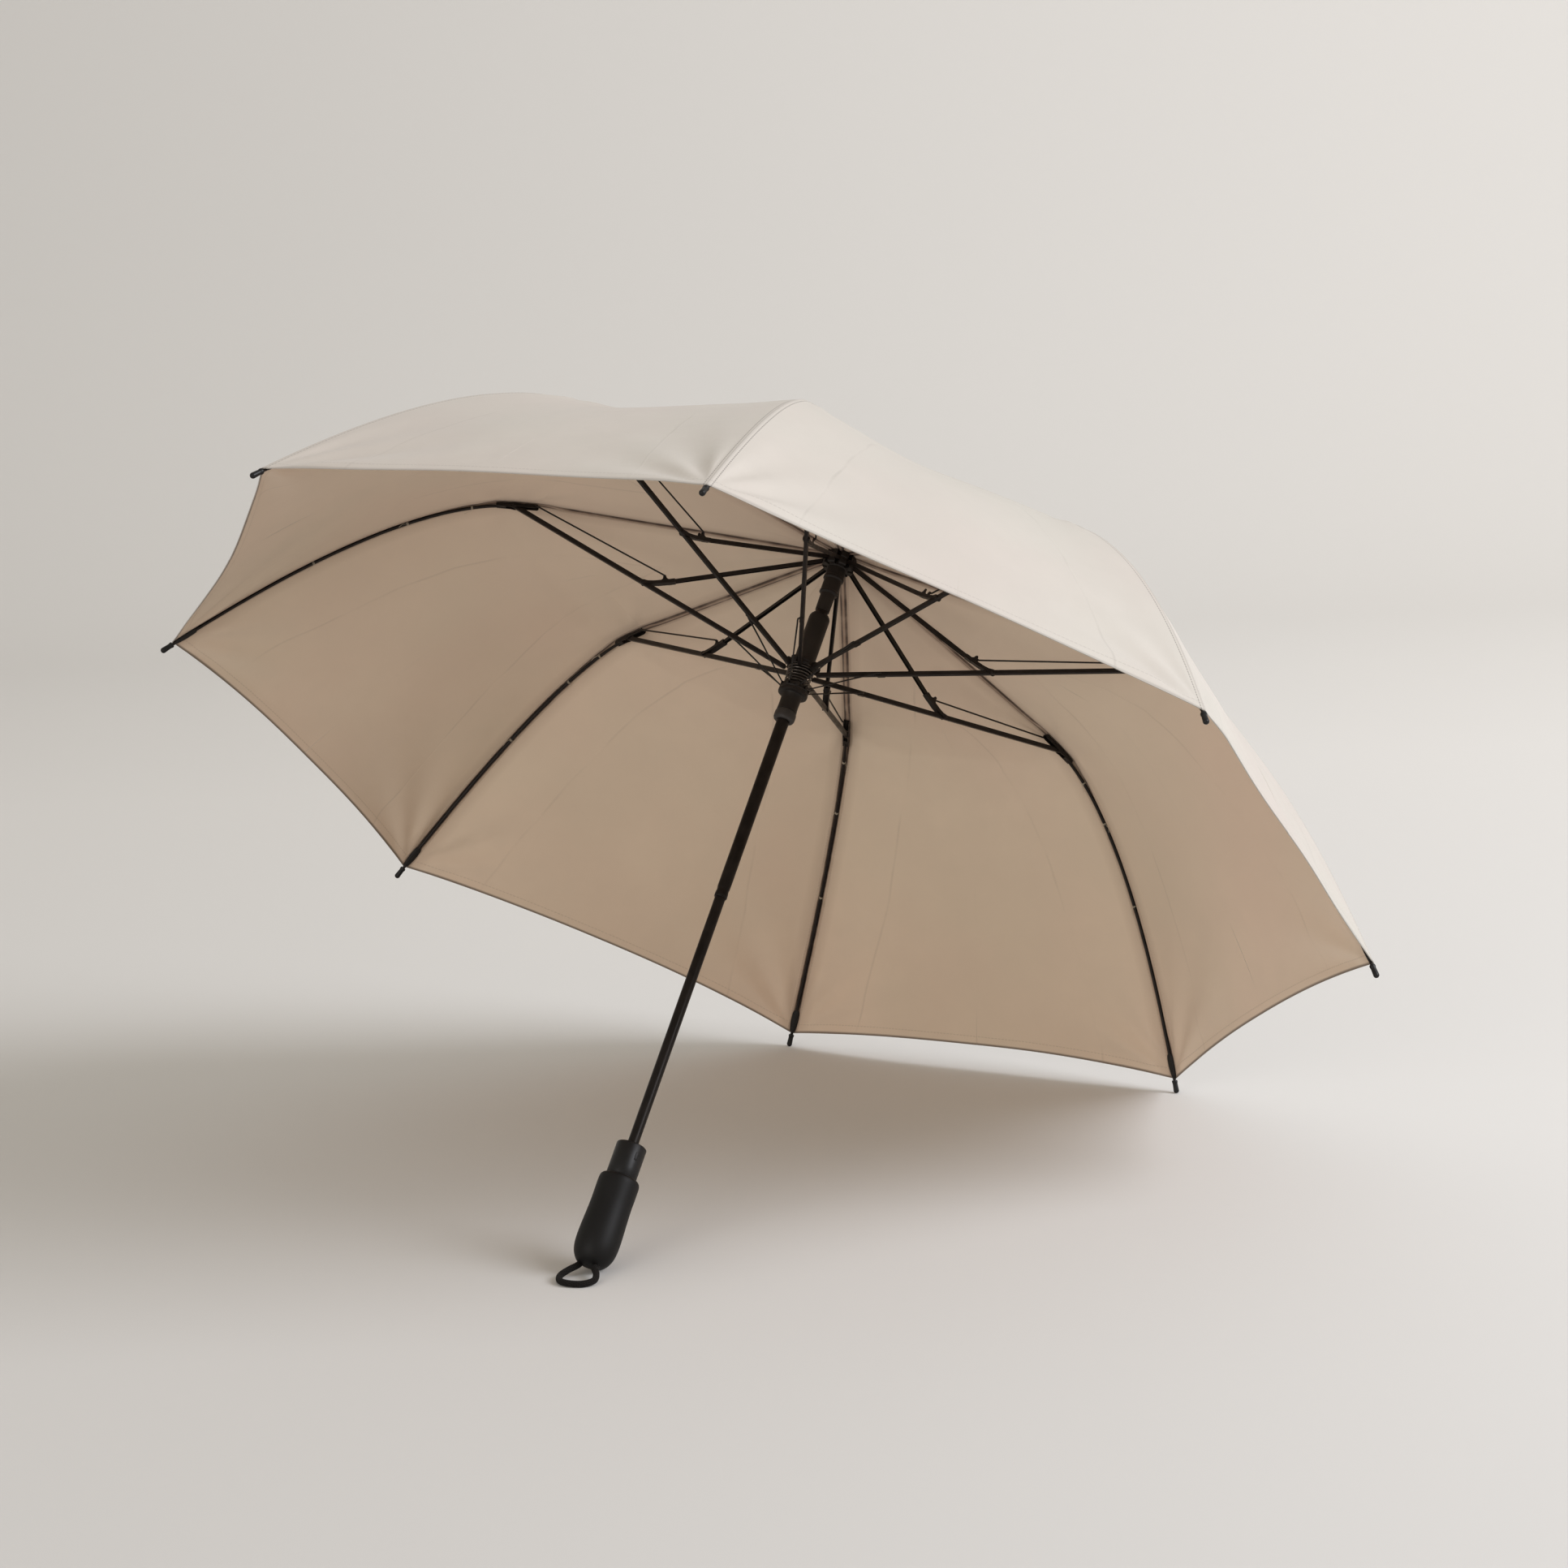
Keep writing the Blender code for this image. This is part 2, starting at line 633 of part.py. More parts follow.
def runner_mesh():
    """Sleeve, slotted head that the stretchers meet, and neck inside the spring."""
    bore = OUTER_TUBE_RADIUS + GAP
    head_top = RUNNER_PIVOT_HEIGHT + RUNNER_HEAD_RISE
    head_foot = RUNNER_PIVOT_HEIGHT - RUNNER_HEAD_DROP
    profile = [
        (RUNNER_RADIUS - RUNNER_CHAMFER, RUNNER_TOP),
        (RUNNER_RADIUS, RUNNER_TOP - RUNNER_CHAMFER),
        (RUNNER_RADIUS, head_top),
        (RUNNER_HEAD_RADIUS, head_top),
        (RUNNER_HEAD_RADIUS, head_foot),
        (RUNNER_NECK_RADIUS, head_foot),
        (RUNNER_NECK_RADIUS, RUNNER_NECK_FOOT),
        (bore, RUNNER_NECK_FOOT),
        (bore, RUNNER_TOP),
    ]
    slots = radial_slots(
        RUNNER_SLOT_FLOOR,
        RUNNER_HEAD_RADIUS + OVERRUN,
        head_foot - OVERRUN,
        head_top + OVERRUN,
        LINK_LANE - LINK_RADIUS - GAP,
        FORK_SLOT_WIDTH / 2,
    )
    return combine(turned(profile, closed=True), slots, "DIFFERENCE")


def lower_slider_mesh():
    """Sleeve with a lip below and a notched flange above that the links hook into."""
    tube_bore = OUTER_TUBE_RADIUS + GAP
    neck_bore = RUNNER_NECK_RADIUS + GAP
    step = RUNNER_NECK_FOOT - SLIDER_TRAVEL_ROOM
    flange_foot = FLANGE_TOP - FLANGE_THICKNESS
    lip_top = SLIDER_FOOT + SLIDER_LIP_HEIGHT
    lip_round = SLIDER_LIP_RADIUS - SLIDER_RADIUS
    profile = [
        (FLANGE_RADIUS - GAP, FLANGE_TOP),
        (FLANGE_RADIUS, FLANGE_TOP - GAP),
        (FLANGE_RADIUS, flange_foot),
        (SLIDER_RADIUS, flange_foot),
        (SLIDER_RADIUS, lip_top),
        (SLIDER_LIP_RADIUS, lip_top - lip_round),
        (SLIDER_LIP_RADIUS, SLIDER_FOOT + lip_round),
        (SLIDER_RADIUS, SLIDER_FOOT),
        (tube_bore, SLIDER_FOOT),
        (tube_bore, step),
        (neck_bore, step),
        (neck_bore, FLANGE_TOP),
    ]
    slots = radial_slots(
        FLANGE_NOTCH_FLOOR,
        FLANGE_RADIUS + OVERRUN,
        flange_foot - OVERRUN,
        FLANGE_TOP + OVERRUN,
        LINK_LANE - LINK_RADIUS - GAP,
        FORK_SLOT_WIDTH / 2,
    )
    return combine(turned(profile, closed=True), slots, "DIFFERENCE")


def runner_spring_mesh():
    """Cone-shaped coil between the flange and the runner's head."""
    foot = FLANGE_TOP + GAP + SPRING_WIRE_RADIUS
    top = RUNNER_PIVOT_HEIGHT - RUNNER_HEAD_DROP - GAP - SPRING_WIRE_RADIUS
    steps = round(SPRING_TURNS * SPRING_POINTS_PER_TURN)
    share = np.arange(steps + 1) / steps
    angle = 2 * math.pi * SPRING_TURNS * share
    radius = SPRING_FOOT_RADIUS + (SPRING_TOP_RADIUS - SPRING_FOOT_RADIUS) * share
    height = foot + (top - foot) * share
    points = np.column_stack([radius * np.cos(angle), radius * np.sin(angle), height])
    rise = np.hypot(
        (top - foot) / SPRING_TURNS, (SPRING_TOP_RADIUS - SPRING_FOOT_RADIUS) / SPRING_TURNS
    )
    print(f"runner_spring: least gap between turns {(rise - 2 * SPRING_WIRE_RADIUS) / MM:.2f} mm")
    return rod([tuple(p) for p in points], SPRING_WIRE_RADIUS)


def collar_mesh():
    """Smooth collar that the folded rib tips gather round, with a pocket for the button."""
    bore = INNER_TUBE_RADIUS + GAP
    foot = GRIP_TOP + GAP
    profile = [
        (COLLAR_RADIUS - COLLAR_EDGE, COLLAR_TOP),
        (COLLAR_RADIUS, COLLAR_TOP - COLLAR_EDGE),
        (COLLAR_RADIUS, foot),
        (COLLAR_SPIGOT_RADIUS, foot),
        (COLLAR_SPIGOT_RADIUS, GRIP_TOP - COLLAR_SPIGOT_LENGTH),
        (bore, GRIP_TOP - COLLAR_SPIGOT_LENGTH),
        (bore, COLLAR_TOP),
    ]
    half_height = BUTTON_HEIGHT / 2 + GAP
    floor = COLLAR_RADIUS + BUTTON_PROUD - BUTTON_DEPTH - BUTTON_TRAVEL - GAP
    height = COLLAR_TOP - BUTTON_BELOW_COLLAR_TOP
    reach = COLLAR_RADIUS + OVERRUN
    outline = [
        (floor, height - half_height),
        (reach, height - half_height),
        (reach, height + half_height),
        (floor, height + half_height),
    ]
    half_width = BUTTON_WIDTH / 2 + GAP
    pocket = plate([outline], -half_width, half_width)
    pocket.transform(Matrix.Rotation(BUTTON_AZIMUTH, 4, "Z"))
    return combine(turned(profile, closed=True), [pocket], "DIFFERENCE")


def button_mesh():
    """Flat button with rounded ends, drawn with X outwards from the shaft."""
    half = BUTTON_HEIGHT / 2
    face = COLLAR_RADIUS + BUTTON_PROUD
    edge = BUTTON_PROUD
    outline = [
        (face - BUTTON_DEPTH, -half),
        (face - edge, -half),
        (face, -half + edge),
        (face, half - edge),
        (face - edge, half),
        (face - BUTTON_DEPTH, half),
    ]
    return plate([outline], -BUTTON_WIDTH / 2, BUTTON_WIDTH / 2)


def grip_corner():
    """Centre of the round that ends the grip, as (radius, height)."""
    return GRIP_BULGE_RADIUS - GRIP_END_ROUND, GRIP_END + GRIP_END_ROUND


def grip_mesh(tilt):
    """Soft grip: shoulder, slight waist, bulge and round end, with two cord holes."""
    corner_radius, corner_height = grip_corner()
    socket = INNER_TUBE_RADIUS + GAP
    counterbore = COLLAR_SPIGOT_RADIUS + GAP
    counterbore_floor = GRIP_TOP - COLLAR_SPIGOT_LENGTH - GAP
    socket_floor = GRIP_TOP - GRIP_SOCKET_DEPTH
    shoulder_arc = [math.pi / 2 * n / 5 for n in range(6)]
    shoulder = [
        (
            GRIP_SHOULDER_RADIUS - GRIP_SHOULDER_ROUND * (1 - math.sin(a)),
            GRIP_TOP - GRIP_SHOULDER_ROUND * (1 - math.cos(a)),
        )
        for a in shoulder_arc
    ]
    shoulder_foot = GRIP_TOP - GRIP_SHOULDER_ROUND
    side_length = shoulder_foot - corner_height
    rows = 9
    side = []
    for n in range(1, rows):
        share = n / rows
        waist = math.sin(math.pi * min(1.0, share * 1.6)) ** 2
        swell = share * share * (3 - 2 * share)
        radius = (
            GRIP_SHOULDER_RADIUS
            + (GRIP_BULGE_RADIUS - GRIP_SHOULDER_RADIUS) * swell
            + (GRIP_WAIST_RADIUS - GRIP_SHOULDER_RADIUS) * waist
        )
        side.append((radius, shoulder_foot - side_length * share))
    end_arc = [math.pi / 2 * n / 7 for n in range(8)]
    end = [
        (
            corner_radius + GRIP_END_ROUND * math.cos(a),
            corner_height - GRIP_END_ROUND * math.sin(a),
        )
        for a in end_arc
    ]
    profile = [
        (0.0, socket_floor),
        (socket, socket_floor),
        (socket, counterbore_floor),
        (counterbore, counterbore_floor),
        (counterbore, GRIP_TOP),
        *shoulder,
        *side,
        *end,
        (0.0, GRIP_END),
    ]
    grip = turned(profile)
    cutters = []
    for side_sign in (-1, 1):
        start, direction = cord_hole(tilt, side_sign)
        cutters.append(
            rod(
                [tuple(start - direction * OVERRUN), tuple(start + direction * CORD_HOLE_LENGTH)],
                CORD_RADIUS + GAP,
                2 * ROD_SIDES,
            )
        )
    return combine(grip, cutters, "DIFFERENCE")


def floor_drop(tilt):
    """How far the lowest point of the grip's end lies below the tips' plane centre."""
    corner_radius, corner_height = grip_corner()
    return (
        corner_height * math.cos(tilt) - corner_radius * math.sin(tilt) - GRIP_END_ROUND
    )


def cord_hole(tilt, side_sign):
    """Start and direction of a cord hole, from the cord's first point on the floor frame."""
    x, y, z = CORD_ROUTE[0]
    level = Vector((0.0, y + GRIP_END * math.sin(tilt), z + floor_drop(tilt)))
    upright = Matrix.Rotation(tilt, 3, "X")
    start = upright @ level
    start.x = side_sign * CORD_HOLE_SPREAD
    slope = Vector((0.0, -math.cos(CORD_HOLE_SLOPE), -math.sin(CORD_HOLE_SLOPE)))
    return start, upright @ slope


def seam_line():
    """Cloth centre line over a rib: straight from the crown to the knee, then along it."""
    lift = CLOTH_THICKNESS / 2
    crown = Vector((CLOTH_CROWN_HOLE, 0.0, CLOTH_CROWN_HEIGHT + lift))
    rib_length = (TIP_END - KNEE).length
    start_share = 2 * (KNEE_CLIP_REACH + KNEE_CLIP_ROOT) / rib_length
    end_pace = 2 * (TIP_END - outer_rib_bend()).length
    last_share = 1 - (TIP_LENGTH + CLOTH_TO_TIP) / end_pace
    shares = np.linspace(start_share, last_share, CLOTH_CURVED_ROWS + 1)
    curve = outer_rib_curve(shares)
    nudge = (last_share - start_share) / CLOTH_CURVED_ROWS / 2
    after, before = outer_rib_curve(shares + nudge), outer_rib_curve(shares - nudge)
    over = []
    for place, ahead, behind, share in zip(curve, after, before, shares):
        run = (ahead - behind).normalized()
        out = Vector((-run.z, 0.0, run.x))
        rise = CLOTH_OVER_KNEE + (CLOTH_OVER_RIB - CLOTH_OVER_KNEE) * min(1.0, 3 * share)
        over.append(place + out * rise)
    over_clip = along(math.pi / 2 - OUTER_RIB_START_SLOPE, CLOTH_OVER_KNEE)
    tail_top = TAIL + over_clip
    nose_top = KNEE + along(-OUTER_RIB_START_SLOPE, KNEE_CLIP_REACH) + over_clip
    flat = [
        crown + (tail_top - crown) * (n / CLOTH_FLAT_ROWS) for n in range(CLOTH_FLAT_ROWS)
    ]
    return [*flat, tail_top, nose_top, *over]


def canopy_mesh():
    """Eight gores between the seams: they sag a little, and each hem is scalloped."""
    seam = np.array([(p.x, p.z) for p in seam_line()])
    run = np.gradient(seam, axis=0)
    run /= np.linalg.norm(run, axis=1)[:, None]
    inward = np.column_stack([run[:, 1], -run[:, 0]])
    steps = np.concatenate([[0.0], np.cumsum(np.linalg.norm(np.diff(seam, axis=0), axis=1))])
    share = steps / steps[-1]
    across = np.arange(CLOTH_COLUMNS_PER_GORE) / CLOTH_COLUMNS_PER_GORE
    bow = 1 - (2 * across - 1) ** 2
    gore = 2 * math.pi / RIB_COUNT
    columns = []
    for rib in range(RIB_COUNT):
        for place, sag in zip(across, bow):
            pull = sag * HEM_SCALLOP * share**3
            dip = sag * GORE_SAG * share
            flat = seam - run * pull[:, None] + inward * dip[:, None]
            first = FIRST_RIB_AZIMUTH + gore * rib
            mix = math.cos(gore / 2) / math.cos((place - 0.5) * gore)
            turn = first + place * gore
            radius = flat[:, 0] * mix
            columns.append(
                np.column_stack([radius * math.cos(turn), radius * math.sin(turn), flat[:, 1]])
            )
    rows = len(seam)
    grid = bmesh.new()
    corners = [[grid.verts.new(point) for point in column] for column in columns]
    for left, right in zip(corners, corners[1:] + corners[:1]):
        for n in range(rows - 1):
            grid.faces.new((left[n], left[n + 1], right[n + 1], right[n]))
    bmesh.ops.recalc_face_normals(grid, faces=grid.faces)
    mesh = bpy.data.meshes.new("canopy")
    grid.to_mesh(mesh)
    grid.free()
    helper = new_object("canopy_cloth", mesh, workshop)
    wall = helper.modifiers.new("Cloth", "SOLIDIFY")
    wall.thickness = CLOTH_THICKNESS
    wall.offset = 0.0
    return baked(helper)


def tilt_on_floor():
    """Angle by which the upright shaft leans until grip and two tips touch the floor."""
    tip_centre = TIP_END - along(-OUTER_RIB_END_SLOPE, TIP_RADIUS)
    forward = tip_centre.x * math.cos(math.pi / RIB_COUNT)
    corner_radius, corner_height = grip_corner()
    rise = tip_centre.z - corner_height
    run = forward - corner_radius
    drop = TIP_RADIUS - GRIP_END_ROUND
    return math.acos(drop / math.hypot(rise, run)) - math.atan2(run, rise)


def build_ribs(root, parts, materials):
    shapes = {
        "top_rib": (smooth(top_rib_mesh()), HUB_PIVOT, "frame"),
        "stretcher": (smooth(stretcher_mesh()), ELBOW, "frame"),
        "outer_rib": (smooth(outer_rib_mesh()), KNEE, "frame"),
        "control_wire": (smooth(control_wire_mesh()), WIRE_HOOK, "wire"),
        "spring_link": (smooth(spring_link_mesh()), LINK_JOINT, "wire"),
        "rib_tip": (smooth(rib_tip_mesh()), TIP_END, "plastic"),
    }
    for number, azimuth in enumerate(rib_azimuths(), start=1):
        plane = new_object(f"rib_plane_{number}", None, parts, parent=root)
        plane.rotation_euler = (0.0, 0.0, azimuth)
        for name, (mesh, pivot, finish) in shapes.items():
            piece = new_object(f"{name}_{number}", mesh, parts, parent=plane)
            piece.location = pivot
            if not mesh.materials:
                mesh.materials.append(materials[finish])
            if name == "rib_tip":
                piece.rotation_euler = (0.0, -(math.pi / 2 - OUTER_RIB_END_SLOPE), 0.0)


def build_shaft(root, parts, materials, tilt):
    tube_top = HUB_TOP - HUB_TUBE_SEAT - GAP
    inner_foot = GRIP_TOP - GRIP_SOCKET_DEPTH + GAP
    inner_top = OUTER_TUBE_FOOT + TUBE_OVERLAP
    shapes = {
        "outer_tube": (
            tube_mesh(
                OUTER_TUBE_RADIUS,
                OUTER_TUBE_WALL,
                OUTER_TUBE_FOOT,
                tube_top,
                OUTER_TUBE_FOOT + CRIMP_ABOVE_FOOT,
            ),
            "tube",
        ),
        "inner_tube": (
            tube_mesh(INNER_TUBE_RADIUS, INNER_TUBE_WALL, inner_foot, inner_top),
            "tube",
        ),
        "crown_hub": (hub_mesh(), "plastic"),
        "crown_cap": (crown_cap_mesh(), "plastic"),
        "runner": (runner_mesh(), "plastic"),
        "lower_slider": (lower_slider_mesh(), "plastic"),
        "runner_spring": (runner_spring_mesh(), "wire"),
        "grip_collar": (collar_mesh(), "collar"),
        "grip": (grip_mesh(tilt), "grip"),
        "canopy": (canopy_mesh(), "cloth"),
    }
    for name, (mesh, finish) in shapes.items():
        new_object(name, smooth(mesh), parts, materials[finish], root)


def build_button(root, parts, materials):
    mesh = button_mesh()
    piece = new_object("release_button", mesh, parts, materials["plastic"], root)
    piece.location = (0.0, 0.0, COLLAR_TOP - BUTTON_BELOW_COLLAR_TOP)
    piece.rotation_euler = (0.0, 0.0, BUTTON_AZIMUTH)


def smooth_route(knots, step):
    """Points a step apart on the smooth curve that runs through every knot."""
    knots = np.array(knots)
    padded = np.vstack([2 * knots[0] - knots[1], knots, 2 * knots[-1] - knots[-2]])
    fine = []
    for before, start, end, after in zip(padded, padded[1:], padded[2:], padded[3:]):
        for share in np.linspace(0.0, 1.0, 20, endpoint=False):
            fine.append(
                start
                + (end - before) * share / 2
                + (2 * before - 5 * start + 4 * end - after) * share**2 / 2
                + (3 * start - before - 3 * end + after) * share**3 / 2
            )
    fine = np.array([*fine, knots[-1]])
    length = np.concatenate([[0.0], np.cumsum(np.linalg.norm(np.diff(fine, axis=0), axis=1))])
    places = np.linspace(0.0, length[-1], round(length[-1] / step) + 1)
    return np.column_stack([np.interp(places, length, fine[:, n]) for n in range(3)])


def build_wrist_loop(parts, materials, grip_end_place):
    """Cord that leaves one hole in the grip's end, lies on the floor and comes back."""
    points = smooth_route(CORD_ROUTE, CORD_STEP)
    curve = bpy.data.curves.new("wrist_loop", "CURVE")
    curve.dimensions = "3D"
    curve.bevel_depth = CORD_RADIUS
    curve.bevel_resolution = 2
    curve.use_fill_caps = True
    spline = curve.splines.new("POLY")
    spline.points.add(len(points) - 1)
    for point, place in zip(spline.points, points):
        point.co = (*place, 1.0)
    loop = new_object("wrist_loop", curve, parts, materials["cord"])
    loop.location = (0.0, grip_end_place, 0.0)


def stand_on_floor(root, parts):
    """Lowest point to the floor, and the middle of the whole box over the origin."""
    bpy.context.view_layer.update()
    graph = bpy.context.evaluated_depsgraph_get()
    lows, highs = [], []
    for piece in parts.objects:
        if piece.type != "MESH":
            continue
        mesh = piece.evaluated_get(graph).to_mesh()
        places = np.empty(len(mesh.vertices) * 3, np.float32)
        mesh.vertices.foreach_get("co", places)
        world = np.array(piece.matrix_world)
        places = places.reshape(-1, 3) @ world[:3, :3].T + world[:3, 3]
        lows.append(places.min(axis=0))
        highs.append(places.max(axis=0))
    low, high = np.min(lows, axis=0), np.max(highs, axis=0)
    root.location = (-(low[0] + high[0]) / 2, -(low[1] + high[1]) / 2, -low[2])


def main():
    tilt = tilt_on_floor()
    materials = {
        "frame": new_material("frame", (0.022, 0.019, 0.018), 0.42, 0.6),
        "wire": new_material("wire", (0.028, 0.025, 0.023), 0.4, 0.7),
        "tube": new_material("tube", (0.03, 0.027, 0.026), 0.3, 0.8),
        "plastic": new_material("plastic", (0.02, 0.018, 0.017), 0.5),
        "collar": new_material("collar", (0.013, 0.013, 0.014), 0.25),
        "grip": new_material("grip", (0.014, 0.014, 0.014), 0.75),
        "cord": new_material("cord", (0.014, 0.013, 0.013), 0.85),
        "cloth": new_material("cloth", (0.50, 0.41, 0.33), 0.9),
    }
    parts = new_collection("folding_umbrella")
    root = new_object("umbrella", None, parts)
    build_ribs(root, parts, materials)
    build_shaft(root, parts, materials, tilt)
    build_button(root, parts, materials)
    root.rotation_euler = (-tilt, 0.0, 0.0)
    stand_on_floor(root, parts)
    bpy.context.view_layer.update()
    grip_end = root.matrix_world @ Vector((0.0, 0.0, GRIP_END))
    build_wrist_loop(parts, materials, grip_end.y)


clear_scene()
workshop = new_collection("workshop", hidden=True)
main()
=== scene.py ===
"""Looks of an open folding umbrella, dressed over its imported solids.

Lengths are in metres. A rib is drawn in its own plane as (out, up): out from the
shaft's axis and up the shaft. A third number, across, is the distance from that
plane. Pieces of the shaft are drawn as (x, y, up) round the same axis.
"""

import json
import logging
import math
from dataclasses import dataclass, field, replace
from enum import Enum
from functools import cached_property

import bmesh
import bpy
import numpy as np
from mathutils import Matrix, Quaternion, Vector


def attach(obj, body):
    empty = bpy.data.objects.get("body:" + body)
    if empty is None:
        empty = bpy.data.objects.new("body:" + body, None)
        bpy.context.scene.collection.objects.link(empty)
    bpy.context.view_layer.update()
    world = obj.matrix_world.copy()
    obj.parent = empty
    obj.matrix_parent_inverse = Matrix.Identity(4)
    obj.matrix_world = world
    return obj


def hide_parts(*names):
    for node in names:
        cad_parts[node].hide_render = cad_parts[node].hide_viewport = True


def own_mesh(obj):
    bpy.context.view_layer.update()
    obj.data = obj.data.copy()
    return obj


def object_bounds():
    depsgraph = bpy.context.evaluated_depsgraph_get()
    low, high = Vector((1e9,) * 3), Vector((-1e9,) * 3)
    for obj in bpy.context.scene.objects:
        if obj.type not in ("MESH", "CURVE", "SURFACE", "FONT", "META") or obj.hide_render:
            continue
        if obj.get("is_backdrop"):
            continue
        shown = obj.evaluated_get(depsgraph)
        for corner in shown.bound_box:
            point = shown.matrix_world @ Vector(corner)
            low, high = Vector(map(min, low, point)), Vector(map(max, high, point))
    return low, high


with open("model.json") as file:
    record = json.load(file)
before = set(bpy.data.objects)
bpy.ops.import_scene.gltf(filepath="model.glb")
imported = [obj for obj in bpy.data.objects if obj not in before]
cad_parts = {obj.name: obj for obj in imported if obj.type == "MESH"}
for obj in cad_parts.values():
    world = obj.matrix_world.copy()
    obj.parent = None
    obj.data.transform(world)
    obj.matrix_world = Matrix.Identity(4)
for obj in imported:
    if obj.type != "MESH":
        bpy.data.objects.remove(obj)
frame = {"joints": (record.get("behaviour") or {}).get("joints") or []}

LOG = logging.getLogger("umbrella")
MM = 0.001
ROUND = 2 * math.pi
GORE = math.radians(45.0)
RIB_NUMBERS = range(1, 9)

Pair = tuple[float, float]
Triple = tuple[float, float, float]
Colour = tuple[float, float, float, float]
Socket = bpy.types.NodeSocket


class Slot(Enum):
    """Material slots of the record."""

    FRAME = "frame"
    WIRE = "wire"
    TUBE = "tube"
    PLASTIC = "plastic"
    COLLAR = "collar"
    GRIP = "grip"
    CORD = "cord"
    CLOTH = "cloth"


class Side(Enum):
    """Which side of its rib a half gore lies on."""

    LEFT = -1
    RIGHT = 1


class Zone(Enum):
    """Strips that a half gore is made in: two beside each other, then the skirt."""

    NEAR = "crown_cloth_near"
    FAR = "crown_cloth_far"
    SKIRT = "skirt_cloth"


def mm(*rows: float | Pair | Triple) -> np.ndarray:
    """Sizes in millimetres, or rows of them, as metres."""
    return np.array(rows) * MM


def unit(vectors: np.ndarray) -> np.ndarray:
    """Vectors of length one in the same directions."""
    return vectors / np.maximum(np.linalg.norm(vectors, axis=-1, keepdims=True), 1e-12)


def smooth_step(values: np.ndarray) -> np.ndarray:
    """Soft ramp 3v^2 - 2v^3 that stays at 0 below 0 and at 1 above 1."""
    held = np.clip(values, 0.0, 1.0)
    return held * held * (3.0 - 2.0 * held)


def two_spacings(change: float, count: int) -> np.ndarray:
    """Shares from 0 to 1, with count places up to the change and count beyond it."""
    return np.concatenate([np.linspace(0, change, count)[:-1], np.linspace(change, 1, count)])


def sample(at: np.ndarray, places: np.ndarray, table: np.ndarray) -> np.ndarray:
    """Rows of a table read between its own rows, whose places are given."""
    return np.column_stack([np.interp(at, places, column) for column in table.T])


def distances(path: np.ndarray) -> np.ndarray:
    """Distance along a path to each of its points."""
    steps = np.linalg.norm(np.diff(path, axis=0), axis=1)
    return np.concatenate([[0.0], np.cumsum(steps)])


def smooth_path(knots: np.ndarray, count: int) -> np.ndarray:
    """Evenly spaced points on the Catmull-Rom curve through every knot.

    Args:
        knots: Places that the curve passes through, one a row.
        count: Number of points to return.

    Returns:
        Array of count points.
    """
    padded = np.vstack([2 * knots[0] - knots[1], knots, 2 * knots[-1] - knots[-2]])
    span = np.linspace(0.0, len(knots) - 1 - 1e-9, 60 * len(knots))
    at = span.astype(int)
    part = (span - at)[:, None]
    before, start, end, after = (padded[at + n] for n in range(4))
    fine = (
        start
        + (end - before) * part / 2
        + (2 * before - 5 * start + 4 * end - after) * part**2 / 2
        + (3 * start - before - 3 * end + after) * part**3 / 2
    )
    length = distances(fine)
    return sample(np.linspace(0.0, length[-1], count), length, fine)


def off_plane(flat: np.ndarray, across: np.ndarray | float = 0.0) -> np.ndarray:
    """Places (out, across, up) of points (out, up) at a distance from the rib's plane."""
    return np.column_stack([flat[:, 0], np.broadcast_to(across, len(flat)), flat[:, 1]])


@dataclass
class Shape:
    """A closed surface before it becomes an object: points, faces and corner UVs."""

    points: np.ndarray
    faces: list
    uvs: np.ndarray | None = None
    finishes: np.ndarray | None = None

    def joined(self, *others: "Shape") -> "Shape":
        """This shape and others as one, each surface still closed.

        Args:
            *others: Shapes to join to it.

        Returns:
            One shape, without UVs.
        """
        points, faces, start = [], [], 0
        for shape in (self, *others):
            points.append(shape.points)
            faces += [tuple(n + start for n in face) for face in shape.faces]
            start += len(shape.points)
        return Shape(np.vstack(points), faces)


def grid_faces(rows: int, columns: int, ring: bool = True) -> np.ndarray:
    """Corner numbers of the quads of a grid.

    Args:
        rows: Number of rows of points.
        columns: Number of points in a row.
        ring: True where the last column joins the first.

    Returns:
        Array of four point numbers for each quad.
    """
    row = np.arange(rows - 1)[:, None] * columns
    column = np.arange(columns if ring else columns - 1)
    beside = (column + 1) % columns
    corners = [row + column, row + beside, row + columns + beside, row + columns + column]
    return np.stack(corners, axis=-1).reshape(-1, 4)


def bar_faces(rows: int, columns: int) -> list:
    """Corner numbers of a closed bar: the quads round it and its two end caps."""
    caps = [tuple(range(columns)), tuple(range((rows - 1) * columns, rows * columns))]
    return grid_faces(rows, columns).tolist() + caps


def round_axis(radius: np.ndarray, height: np.ndarray, angle: np.ndarray) -> Shape:
    """Surface in (x, y, up) from a radius and a height at each row and angle."""
    points = np.stack([radius * np.cos(angle), radius * np.sin(angle), height + 0 * angle], -1)
    return Shape(points.reshape(-1, 3), grid_faces(*points.shape[:2]).tolist())


def turned(profile: np.ndarray, sides: int = 48, closed: bool = False) -> Shape:
    """Surface of revolution: each profile point runs round the axis at its radius.

    Args:
        profile: Rows of (radius, height). Where it isn't closed, both ends lie on the axis.
        sides: Number of columns round the axis.
        closed: True for a tube, whose profile meets itself.

    Returns:
        The closed shape, in (x, y, up).
    """
    if closed:
        profile = np.vstack([profile, profile[:1]])
    return round_axis(profile[:, :1], profile[:, 1:], ROUND * np.arange(sides) / sides)


